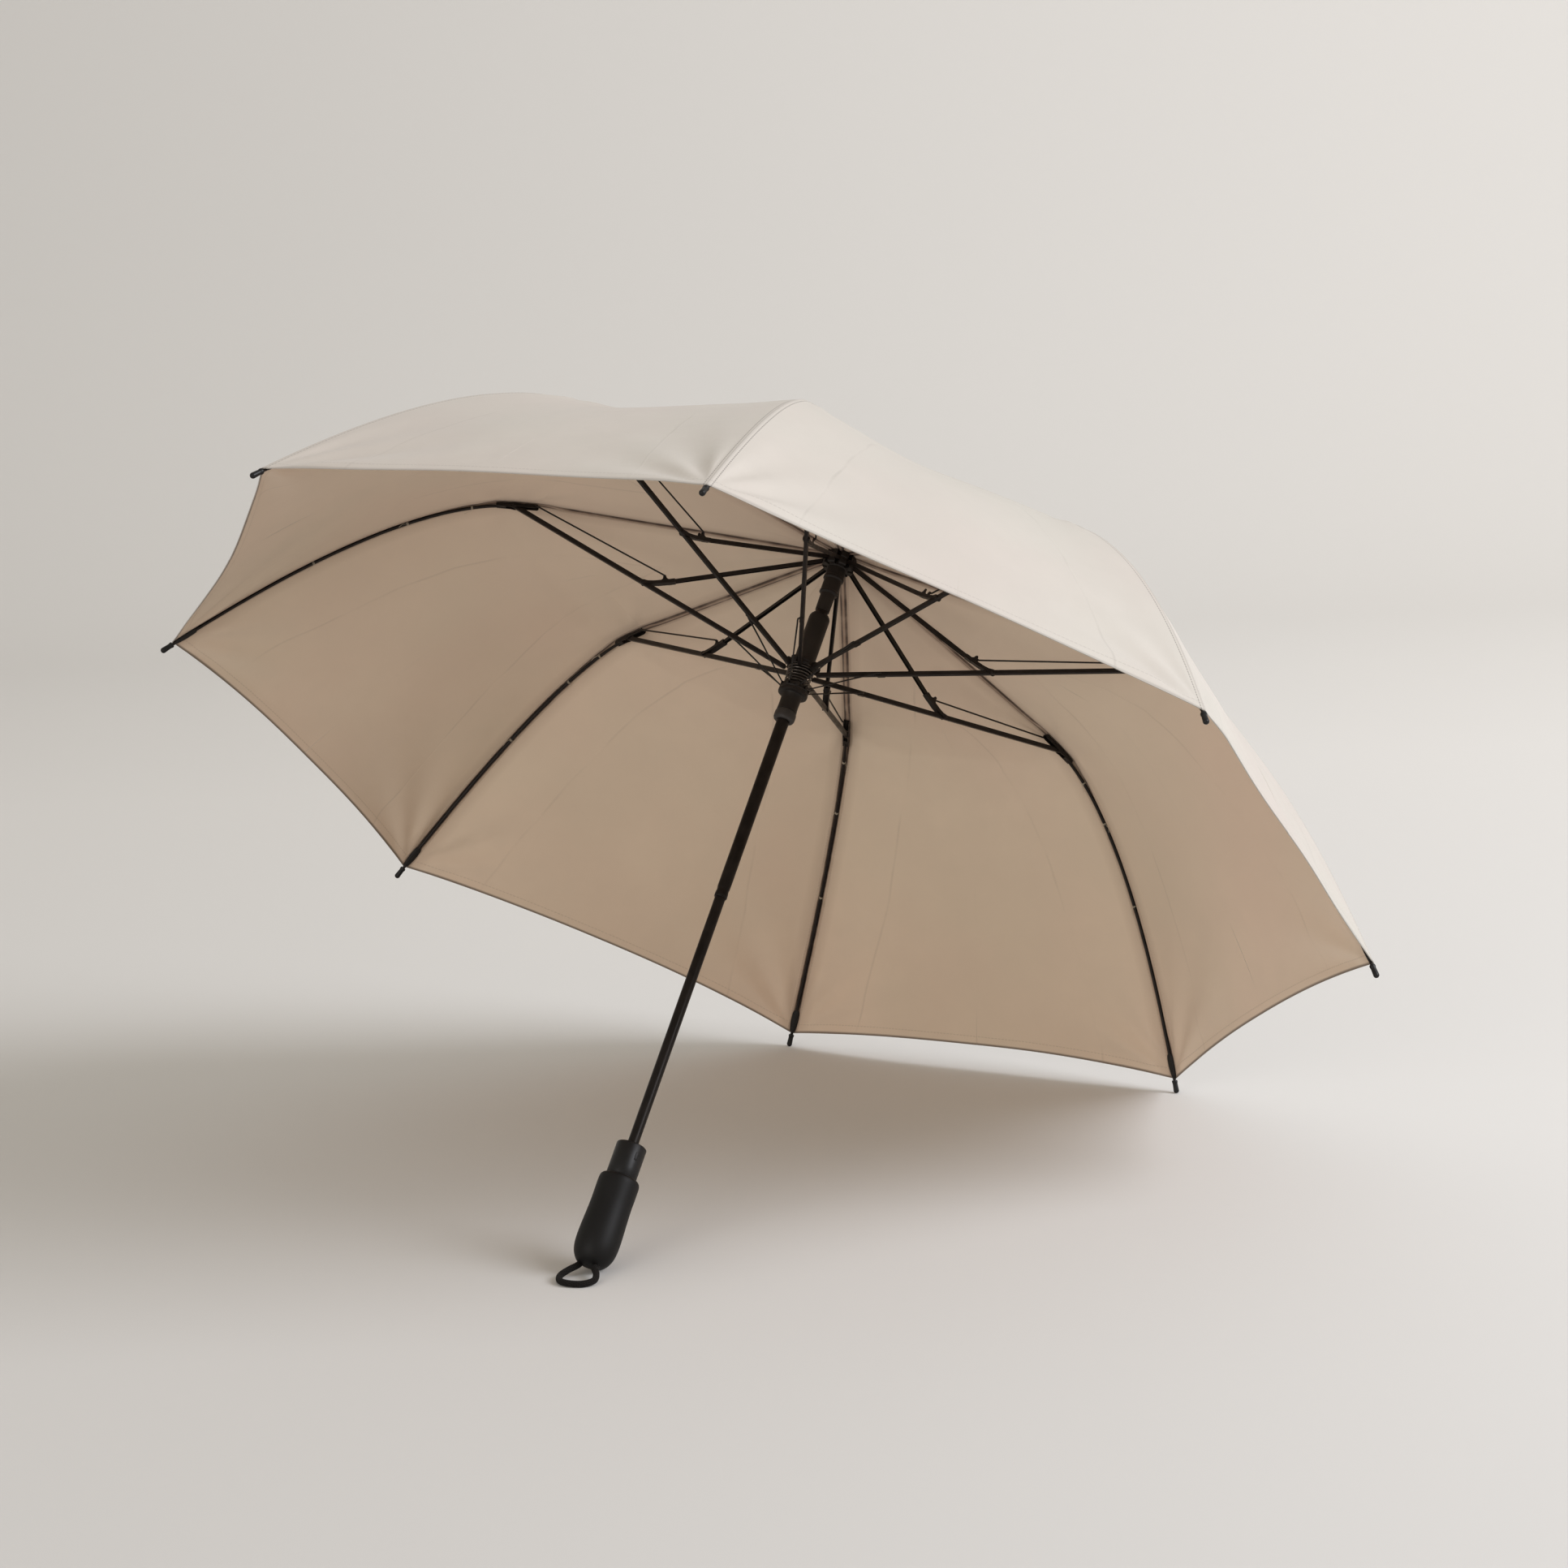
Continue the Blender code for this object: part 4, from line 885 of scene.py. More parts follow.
@dataclass
class Canopy:
    """Sizes of the canopy's eight gores of thin cloth, and the line of their seams."""

    maker: Maker
    linkage: Linkage
    crown: Pair = (3.5 * MM, 235.85 * MM)
    over_knee: float = 3.9 * MM
    over_rib: float = 2.2 * MM
    clip_reach: float = 20.5 * MM
    clip_nose: float = 15.0 * MM
    tip_lap: float = 8.0 * MM
    scallop: float = 10.4 * MM
    scallop_power: float = 2.5
    sag: float = 8.5 * MM
    knee_sag: float = 0.8
    knee_sag_reach: float = 0.26
    hem_sag: float = 0.35
    thickness: float = 0.35 * MM
    tape: float = 0.3 * MM
    tape_width: float = 5.0 * MM
    hem_width: float = 8.5 * MM
    fold_edge: float = 0.5 * MM
    corner_fan: Fan = Fan(2.4 * MM, 95.0 * MM, 9.0, 0.0)
    knee_fan: Fan = Fan(1.0 * MM, 55.0 * MM, 8.0, 1.7)
    crown_fan: Fan = Fan(0.8 * MM, 75.0 * MM, 11.0, 0.6)
    crown_fan_squeeze: float = 2.2
    welt_height: float = 1.5 * MM
    welt_width: float = 2.0 * MM
    flap_height: float = 0.9 * MM
    flap_place: float = 2.9 * MM
    flap_half: float = 1.0 * MM
    drift: float = 1.6 * MM
    drift_waves: tuple[Colour, ...] = (
        (7.3, 3.0, 2.1, 1.0), (11.9, -6.1, 1.0, 0.7), (4.0, 9.7, 1.7, 0.5)
    )
    gather: float = 13.2 * MM
    gather_keep: float = 0.03
    pleat: float = math.radians(18.4)
    pleat_keep: float = 0.06
    cut_slant: float = math.radians(18.0)

    @cached_property
    def seam(self) -> np.ndarray:
        """Line (out, up) of a seam: straight over the top rib, then bent over the outer rib."""
        link = self.linkage
        shares = np.linspace(self.clip_reach * 2, link.outer_chord - self.tip_lap, 24)
        shares = shares / link.outer_chord
        curve = link.outer_curve(shares)
        run = unit(np.gradient(curve, axis=0))
        out = np.column_stack([-run[:, 1], run[:, 0]])
        rise = self.over_knee + (self.over_rib - self.over_knee) * np.minimum(1.0, 3 * shares)
        clip_run, clip_rise = link.axes(-link.start_slope)
        nose = link.knee + self.clip_nose * clip_run + self.over_knee * clip_rise
        tail = link.tail + self.over_knee * clip_rise
        inner = self.crown + (tail - self.crown) * np.linspace(0.0, 1.0, 12)[:, None]
        return smooth_path(np.vstack([inner, nose, curve + out * rise[:, None]]), 400)

    @cached_property
    def length(self) -> float:
        """Length of a seam."""
        return float(distances(self.seam)[-1])

    def share_at(self, place: np.ndarray) -> float:
        """Share of the seam's length that lies between the crown and a place."""
        return float(np.linalg.norm(place - self.crown) / self.length)

    def build(self) -> None:
        """Make every strip of every half gore, crown strips first."""
        split = self.share_at(self.linkage.tail)
        by_seam = [0, 0.4, 0.8, 1.2, 1.5, 1.75, 1.95, 2.2, 2.5, 2.9, 3.4, 3.9, 4.6, 5.4]
        beyond = 0.036 + 0.964 * np.linspace(0.0, 1.0, 36)[1:] ** 1.15
        across = np.concatenate([np.array(by_seam) / 150.0, beyond])
        middle = int(np.argmax(across >= 0.5))
        crown_rows = two_spacings(0.75, 14) * split
        grids = {
            Zone.NEAR: (crown_rows, across[: middle + 1]),
            Zone.FAR: (crown_rows, across[middle:]),
            Zone.SKIRT: (split + (1 - split) * two_spacings(0.72, 34), across),
        }
        for zone, grid in grids.items():
            for number in RIB_NUMBERS:
                for side in Side:
                    Strip(self, zone, number, side, *grid).build()


@dataclass
class Strip:
    """One strip of a half gore, as a function of two distances: along the seam, from the
    crown to the hem, and across, from the seam to the middle of the gore.

    The rows are shares of the seam's length, and the columns of the half gore's width.
    """

    canopy: Canopy
    zone: Zone
    number: int
    side: Side
    rows: np.ndarray
    columns: np.ndarray

    def surface(self) -> tuple[np.ndarray, np.ndarray]:
        """Cloth places in the rib's plane frame, and their distances from seam and hem.

        The seam line is turned about the shaft, drawn in to the straight chord between
        two ribs, and let sag inwards. The hem is cut back in a shallow scallop. Small
        folds fan out from the corner, the knee and the crown, as pulled cloth does.

        Returns:
            Points (rows, columns, 3) as (out, across, up), and (rows, columns, 2) distances.
        """
        cut, ids = self.canopy, (self.number, self.side)
        seam, length = cut.seam, cut.length
        index = np.arange(len(seam))
        where = self.rows * index[-1]
        line = sample(where, index, seam)
        run = unit(sample(where, index, unit(np.gradient(seam, axis=0))))
        inward = np.column_stack([run[:, 1], -run[:, 0]])
        share, place = self.rows[:, None], 0.5 * self.columns
        bow = 1 - (1 - 2 * place) ** 2
        pull = cut.scallop * (1 - np.abs(1 - 2 * place) ** cut.scallop_power) * share**3
        knee = cut.share_at(cut.linkage.knee)
        swell = cut.knee_sag * np.exp(-(((share - knee) / cut.knee_sag_reach) ** 2))
        swell = swell + cut.hem_sag * smooth_step(share / 0.9)
        flat = line[:, None] - run[:, None] * pull[..., None]
        turn = place * GORE
        mix = math.cos(GORE / 2) / np.cos(GORE / 2 - turn)
        width = flat[..., 0] * mix * np.sin(turn)
        lift = (
            cut.corner_fan.lift(*ids, width, length * (1 - share))
            + cut.knee_fan.lift(*ids, width, length * (knee - share))
            + cut.crown_fan.lift(*ids, cut.crown_fan_squeeze * width, length * share)
            + self.undulation(share, place) * bow
        )
        flat = flat + inward[:, None] * (cut.sag * bow * swell - lift)[..., None]
        radius = flat[..., 0] * mix
        sideways = self.side.value * radius * np.sin(turn)
        points = np.stack([radius * np.cos(turn), sideways, flat[..., 1]], -1)
        hem = np.broadcast_to(length * (1 - share), width.shape)
        return points, np.stack([width, hem], -1)

    def undulation(self, share: np.ndarray, place: np.ndarray) -> np.ndarray:
        """Slow waves of loosely held cloth: a sum of sines of place, unlike in each gore.

        Args:
            share: Shares of the seam's length.
            place: Shares of the whole gore's width, from this rib.

        Returns:
            A height for each pair of shares.
        """
        right = self.side is Side.RIGHT
        gore = (self.number - right) % 8
        across = place if right else 1 - place
        waves = sum(
            height * np.sin(down * share + over * across + shift * gore)
            for down, over, shift, height in self.canopy.drift_waves
        )
        return self.canopy.drift * waves * smooth_step(share * 2.5)

    def welt(self, width: np.ndarray) -> np.ndarray:
        """Rise of the seam's rolled edge on the inside: a low round ridge on the seam
        between crown and knee, and a narrow flap beside the rod further out.

        Args:
            width: Distances from the seam.

        Returns:
            A rise for each distance.
        """
        cut, along = self.canopy, self.rows
        split = cut.share_at(cut.linkage.tail)
        ridge = np.sqrt(np.clip(1 - (width / cut.welt_width) ** 2, 0.0, 1.0))
        ends = smooth_step(along / 0.05) * smooth_step((split - 0.012 - along) / 0.03)
        flap = np.sqrt(np.clip(1 - ((width - cut.flap_place) / cut.flap_half) ** 2, 0.0, 1.0))
        reach = smooth_step((along - split - 0.1) / 0.03) * smooth_step((0.96 - along) / 0.03)
        flap_height = cut.flap_height * (1.0 if self.side is Side.LEFT else 0.35)
        return cut.welt_height * ridge * ends[:, None] + flap_height * flap * reach[:, None]

    def shell(self, outer: np.ndarray, places: np.ndarray) -> Shape:
        """Closed thin shell: the strip's outside, its inside and the rim between.

        The inside lies one thickness in, and deeper by the seam tape and the folded hem.

        Args:
            outer: Points of the outside.
            places: Distances of each point from seam and hem.

        Returns:
            The closed shape: finish 0 is its outside, 1 its inside.
        """
        cut = self.canopy
        slopes = np.gradient(outer, axis=0), np.gradient(outer, axis=1)
        normal = unit(np.cross(*slopes)) * self.side.value
        past = (places - [cut.tape_width, cut.hem_width]) / cut.fold_edge
        tape = cut.tape * (1 - smooth_step(past + 1)).max(axis=-1)
        depth = cut.thickness + tape + self.welt(places[..., 0])
        inner = outer - normal * depth[..., None]
        rows, columns = outer.shape[:2]
        ring = np.concatenate([outer, inner[:, ::-1]], axis=1)
        uv = np.concatenate([places, places[:, ::-1]], axis=1).reshape(-1, 2)
        column = np.tile(np.arange(2 * columns), rows - 1)
        finishes = (column >= columns) & (column < 2 * columns - 1)
        first = np.arange(columns - 1)
        last = 2 * columns - 1 - first
        cap = np.stack([first, first + 1, last - 1, last], -1)
        faces = np.vstack([grid_faces(rows, 2 * columns), cap, cap + (rows - 1) * 2 * columns])
        finishes = np.concatenate([finishes, np.zeros(2 * len(cap))])
        return Shape(ring.reshape(-1, 3), faces.tolist(), uv[faces].reshape(-1, 2), finishes)

    def build(self) -> None:
        """Make the strip, and work out the axis it would fold about and its cut size; neither is
        used further.

        The crown's strips stay on the shaft, and the skirt's ride on the outer ribs. The fold that
        would draw a crown strip in round the hub, or pleat a skirt strip against its rib, is not
        applied.
        """
        cut, stance, link = self.canopy, self.canopy.maker.stance, self.canopy.linkage
        number, side, columns = self.number, self.side, self.columns
        on_crown, rib = self.zone is not Zone.SKIRT, f"outer_rib_{number}"
        options = {"finish": ("outside", "inside"), "slot": Slot.CLOTH, "weld": False}
        if (self.zone, number, side) == (Zone.NEAR, 1, Side.LEFT):
            options["replaces"] = ("canopy",)
        name, body = f"{self.zone.value}_{side.name.lower()}", "upper_shaft" if on_crown else rib
        outer, places = self.surface()
        piece = cut.maker.rib_piece(name, number, self.shell(outer, places), body, **options)
        outward, up = stance.outward[number - 1], stance.up
        sideways = side.value * stance.across[number - 1]
        if on_crown:
            turn = 0.25 * (columns[0] + columns[-1]) * GORE
            axis = outward * math.cos(turn) + sideways * math.sin(turn)
            held = stance.base + up * cut.crown[1] + axis * cut.gather
        else:
            chord = unit(link.tip - link.knee)
            under = outward * chord[1] - up * chord[0]
            axis = sideways * math.cos(cut.pleat) + under * math.sin(cut.pleat)
            held = stance.rib(number, off_plane(link.knee[None]))[0]
        width = float(np.ptp(places[..., 0], axis=1).max() / math.cos(cut.cut_slant))
        length = float(np.ptp(places[..., 1]))
        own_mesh(piece)


@dataclass
class Rib:
    """One folding rib: bars, wires, clips, rivets, tip cap and thread ties."""

    maker: Maker
    linkage: Linkage
    number: int
    bar_width: float = 3.0 * MM
    stretcher_depth: float = 3.6 * MM
    top_depth: float = 3.2 * MM
    top_sag: float = 2.5 * MM
    sheet: float = 0.5 * MM
    cheek_inner: float = 1.8 * MM
    cheek_outer: float = 2.5 * MM
    pin_radius: float = 0.8 * MM
    head_radius: float = 1.5 * MM
    head_height: float = 0.35 * MM
    boss_radius: float = 1.5 * MM
    boss_reach: float = 1.45 * MM
    eye_radius: float = 0.95 * MM
    rib_radius: float = 1.3 * MM
    wire_radius: float = 0.7 * MM
    wire_lane: float = 3.8 * MM
    link_radius: float = 0.6 * MM
    link_lane: float = -3.4 * MM
    link_arch: float = 0.3 * MM
    tie_shares: Triple = (0.17, 0.36, 0.62)
    thread_radius: float = 0.17 * MM

    def add(self, name: str, shape: Shape, **options: object) -> None:
        """Make one piece that moves with the outer rib."""
        body = f"outer_rib_{self.number}"
        self.maker.rib_piece(name, self.number, shape, body, **options)

    def stand_in(self, name: str, node: str, shape: Shape, slot: Slot = Slot.FRAME) -> None:
        """Make the piece that stands for one solid of a rib, in its slot's own finish."""
        solid = f"{node}_{self.number}"
        options = {"finish": slot.value, "slot": slot, "replaces": (solid,)}
        self.maker.rib_piece(name, self.number, shape, solid, **options)

    def outline(self, centre: np.ndarray, angle: float, *points: Pair) -> np.ndarray:
        """Places (out, up) of an outline given in millimetres along a bar and square to it."""
        run, rise = self.linkage.axes(angle)
        sizes = mm(*points)
        return centre + sizes[:, :1] * run + sizes[:, 1:] * rise

    def plate(self, centre: np.ndarray, angle: float, half: float, *points: Pair) -> Shape:
        """Plate of an outline given in millimetres, with half its thickness either side."""
        return slab(self.outline(centre, angle, *points), -half, half)

    @staticmethod
    def pin(place: np.ndarray, reach: float, radius: float, sides: int) -> Shape:
        """Round pin through a rib's plane, with the same reach on either side."""
        return swept(off_plane(np.stack([place] * 2), [-reach, reach]), radius, sides)

    def riveted(self, outline: np.ndarray, place: np.ndarray) -> list[Shape]:
        """Two cheeks of folded sheet, and the pin with domed heads that joins them.

        Args:
            outline: Edge of a cheek, as places (out, up).
            place: Centre of the pin.

        Returns:
            The five shapes.
        """
        inner, outer = self.cheek_inner, self.cheek_outer
        shapes = [slab(outline, inner, outer), slab(outline, -outer, -inner)]
        angle = np.linspace(0.0, math.pi / 2, 5)
        dome = np.column_stack([self.head_radius * np.cos(angle), self.head_height * np.sin(angle)])
        dome = np.vstack([[0.0, 0.0], dome[:-1], [0.0, self.head_height]])
        head = turned(dome, 14)
        for side in (1, -1):
            across = side * (outer + head.points[:, 2])
            shapes.append(replace(head, points=off_plane(place + head.points[:, :2], across)))
        return [*shapes, self.pin(place, outer, self.pin_radius, 10)]

    def top_rib(self) -> None:
        """Channel bar from the hub, whose cheeks spread into a fork at the elbow."""
        link, angle = self.linkage, -self.linkage.top_rib_dip
        run, rise = link.axes(angle)
        end = link.elbow - run * 19.0 * MM - rise * self.top_sag
        start = link.hub - run * 1.5 * MM
        bar = channel(start, end, self.bar_width, self.top_depth, self.sheet, -1)
        cheek = self.outline(
            link.elbow, angle,
            (-26.0, -0.9), (-26.0, -4.1), (-12.0, -3.6), (-4.5, -2.5), (-2.0, -2.0), (-0.6, -2.0),
            (1.2, -1.6), (2.0, 0.0), (1.4, 1.4), (0.0, 2.0), (-1.6, 1.5), (-4.0, 0.3),
            (-9.0, -0.5), (-15.0, -0.8), (-16.4, 0.2), (-16.7, 1.9), (-17.2, 2.7), (-18.0, 3.0),
            (-18.8, 2.7), (-19.3, 1.9), (-19.6, 0.2), (-21.0, -0.9),
        )
        web = self.plate(
            link.elbow, angle, self.cheek_outer - 0.1 * MM,
            (-26.0, -0.9), (-26.0, -4.1), (-20.2, -4.1), (-20.2, -0.9),
        )
        floor = self.plate(
            link.elbow, angle, self.cheek_inner + 0.2 * MM,
            (-20.4, -3.3), (-20.4, -3.95), (-12.0, -3.55), (-5.4, -2.6), (-5.4, -2.15),
            (-12.0, -3.1),
        )
        turn = np.linspace(-0.3, ROUND - 0.9, 18)
        eye = link.hook + self.eye_radius * np.column_stack([np.cos(turn), np.sin(turn)])
        eye = swept(off_plane(eye, self.cheek_outer + 0.35 * MM), 0.28 * MM, 8)
        shape = bar.joined(*self.riveted(cheek, link.elbow), web, floor, eye)
        self.stand_in("top_rib_bar", "top_rib", shape)

    def stretcher(self) -> None:
        """Straight channel bar with collars pressed round its pins."""
        link, angle = self.linkage, self.linkage.stretcher_rise
        run, half = link.axes(angle)[0], self.stretcher_depth / 2
        start, end = link.runner - run * half, link.knee + run * half
        bar = channel(start, end, self.bar_width, self.stretcher_depth, self.sheet, 1)
        clamp = self.plate(
            link.link_joint, angle, self.bar_width / 2 + 0.15 * MM,
            (-3.0, -2.05), (3.0, -2.05), (2.4, 1.08), (-2.4, 1.08),
        )
        places = link.elbow, link.knee, link.runner
        bosses = [self.pin(place, self.boss_reach, self.boss_radius, 14) for place in places]
        self.stand_in("stretcher_bar", "stretcher", bar.joined(*bosses, clamp))

    def outer_rib(self) -> None:
        """Spring rod along the bent line, held in a folded clip at the knee."""
        link, angle = self.linkage, -self.linkage.start_slope
        chord = link.outer_chord
        line = link.outer_curve(np.linspace(12.0 * MM / chord, 1 - 4.5 * MM / chord, 60))
        root = self.outline(link.knee, angle, (7.2, 0.0), (9.5, 0.0), (11.5, 0.0))
        rod = smooth_path(np.vstack([root, line[1::3], line[-1:]]), 80)
        cheek = self.outline(
            link.knee, angle,
            (-19.2, 1.5), (-19.4, 0.6), (-19.2, -0.8), (-18.2, -1.5), (-6.5, -1.35),
            (-3.2, -1.7), (-1.6, -2.1), (0.0, -2.3), (1.6, -2.1), (3.4, -1.7), (7.0, -1.6),
            (15.0, -1.4), (15.2, 0.0), (15.0, 1.4), (8.0, 1.9), (3.0, 2.2), (0.0, 2.35),
            (-3.0, 2.0), (-6.5, 1.6),
        )
        bridge, nose = (
            self.plate(link.knee, angle, self.cheek_outer - 0.1 * MM, *points)
            for points in (
                ((-19.1, 0.7), (-5.2, 0.7), (-5.2, 1.55), (-19.1, 1.45)),
                ((7.4, -1.45), (14.8, -1.3), (14.8, 1.3), (7.4, 1.8)),
            )
        )
        rod = swept(off_plane(rod), self.rib_radius, 12)
        shape = rod.joined(*self.riveted(cheek, link.knee), bridge, nose)
        self.stand_in("outer_rib_rod", "outer_rib", shape)

    def control_wire(self) -> None:
        """Thin wire beside the stretcher: its ends bend in to hook through rib and clip."""
        link, lane = self.linkage, self.wire_lane
        steps = mm(0.0, 0.4, 2.4, 30.0)[:, None] * unit(link.tail - link.hook)
        flat = np.vstack([link.hook + steps, (link.tail - steps)[::-1]])
        lanes = np.array([self.cheek_outer + 0.75 * MM, lane - 0.25 * MM, lane, lane])
        knots = off_plane(flat, np.concatenate([lanes, lanes[::-1]]))
        bends = smooth_path(knots[:4], 14)[:-1], smooth_path(knots[4:], 14)
        path = np.vstack([bends[0], smooth_path(knots[3:5], 6)[:-1], bends[1]])
        rod = swept(path, self.wire_radius, 10)
        self.stand_in("control_wire_rod", "control_wire", rod, Slot.WIRE)

    def spring_link(self) -> None:
        """Thin wire from the flange's notch, arched and thicker where it meets the stretcher."""
        link = self.linkage
        foot, joint = np.array(link.link_foot), link.link_joint
        run = unit(joint - foot)
        rise = np.array([-run[1], run[0]])
        shares = np.array([0.0, 0.12, 0.3, 0.5, 0.7, 0.88])[:, None]
        arch = self.link_arch * 6.75 * shares**2 * (1 - shares)
        wire = foot + shares * (joint - foot) + rise * arch
        flat = np.vstack([wire, joint - run * 1.5 * MM, joint])
        lanes = [self.link_lane] * (len(flat) - 1) + [-2.1 * MM]
        path = smooth_path(off_plane(flat, lanes), 40)
        radius = self.link_radius * (1 + 0.2 * smooth_step(np.linspace(-0.2, 1.0, len(path))))
        self.stand_in("spring_link_wire", "spring_link", swept(path, radius, 8), Slot.WIRE)

    def tip(self) -> None:
        """Tip cap with a rolled mouth and a round end, and the dark sleeve sewn before it."""
        link = self.linkage
        run, rise = link.axes(-link.end_slope)
        profile = mm(
            (0.0, 0.0), (1.0, 0.15), (1.75, 0.7), (2.2, 1.4), (2.35, 2.2), (2.25, 4.0),
            (2.1, 7.5), (2.1, 8.6), (2.35, 9.2), (2.4, 10.2), (2.2, 11.0), (0.0, 11.0),
        )
        cap = turned(profile, 24)
        x, y, height = cap.points.T[..., None]
        cap.points = off_plane(link.tip - run * height + rise * x, y[:, 0])
        node = f"rib_tip_{self.number}"
        self.add("tip_cap", cap, finish="collar", slot=Slot.PLASTIC, replaces=(node,))
        path = off_plane(link.outer_curve(1 - np.linspace(23.5, 9.5, 20) * MM / link.outer_chord))
        places, radii = [0.0, 0.06, 0.2, 0.55, 0.85, 1.0], mm(1.2, 2.7, 3.2, 3.3, 2.7, 2.0)
        sleeve = swept(path, np.interp(np.linspace(0.0, 1.0, 20), places, radii), 20)
        centre = np.repeat(path, 20, axis=0)
        away = sleeve.points - centre
        normal = off_plane(rise[None])[0]
        lift = away @ normal
        room = 1.0 * MM - 0.5 * np.abs(away[:, 1])
        held = np.where(lift > room, room, np.where(lift > 0, lift, 0.55 * lift))
        sleeve.points = centre + away + np.outer(held - lift, normal)
        self.add("tip_sleeve", sleeve, finish="sleeve", slot=Slot.PLASTIC)

    def ties(self) -> None:
        """Turns of sewing thread that hold the cloth to the outer rib, with loose ends."""
        link = self.linkage
        turns = np.linspace(0.0, 2.6 * ROUND, 52)
        radius = self.rib_radius + 0.22 * MM
        slide = (turns / turns[-1] - 0.5) * 1.6 * MM
        up = radius * np.cos(turns) + 0.25 * MM * (np.cos(turns) > 0)
        knots = mm((0.0, 1.52, 0.0), (1.5, 2.4, -1.2), (4.2, 3.6, -1.4), (7.5, 3.2, -2.6))
        for order, share in enumerate(self.tie_shares):
            share = share + 0.03 * math.sin(3.1 * self.number + order)
            centre, ahead = link.outer_curve([share, share + 0.002])
            run = unit(ahead - centre)
            rise = np.array([-run[1], run[0]])
            place = centre + run * slide[:, None] + rise * up[:, None]
            coil = off_plane(place, radius * np.sin(turns))
            side = 1 if (self.number + order) % 2 else -1
            flat = centre + run * knots[:, :1] + rise * knots[:, 2:]
            loose = smooth_path(off_plane(flat, side * knots[:, 1]), 14)
            shape = swept(coil, self.thread_radius, 5).joined(swept(loose, 0.14 * MM, 5))
            name = f"thread_tie_{order + 1}"
            self.add(name, shape, finish="thread", slot=Slot.CLOTH, weld=False)

    def build(self) -> None:
        """Make every piece of the rib."""
        self.top_rib()
        self.stretcher()
        self.outer_rib()
        self.control_wire()
        self.spring_link()
        self.tip()
        self.ties()


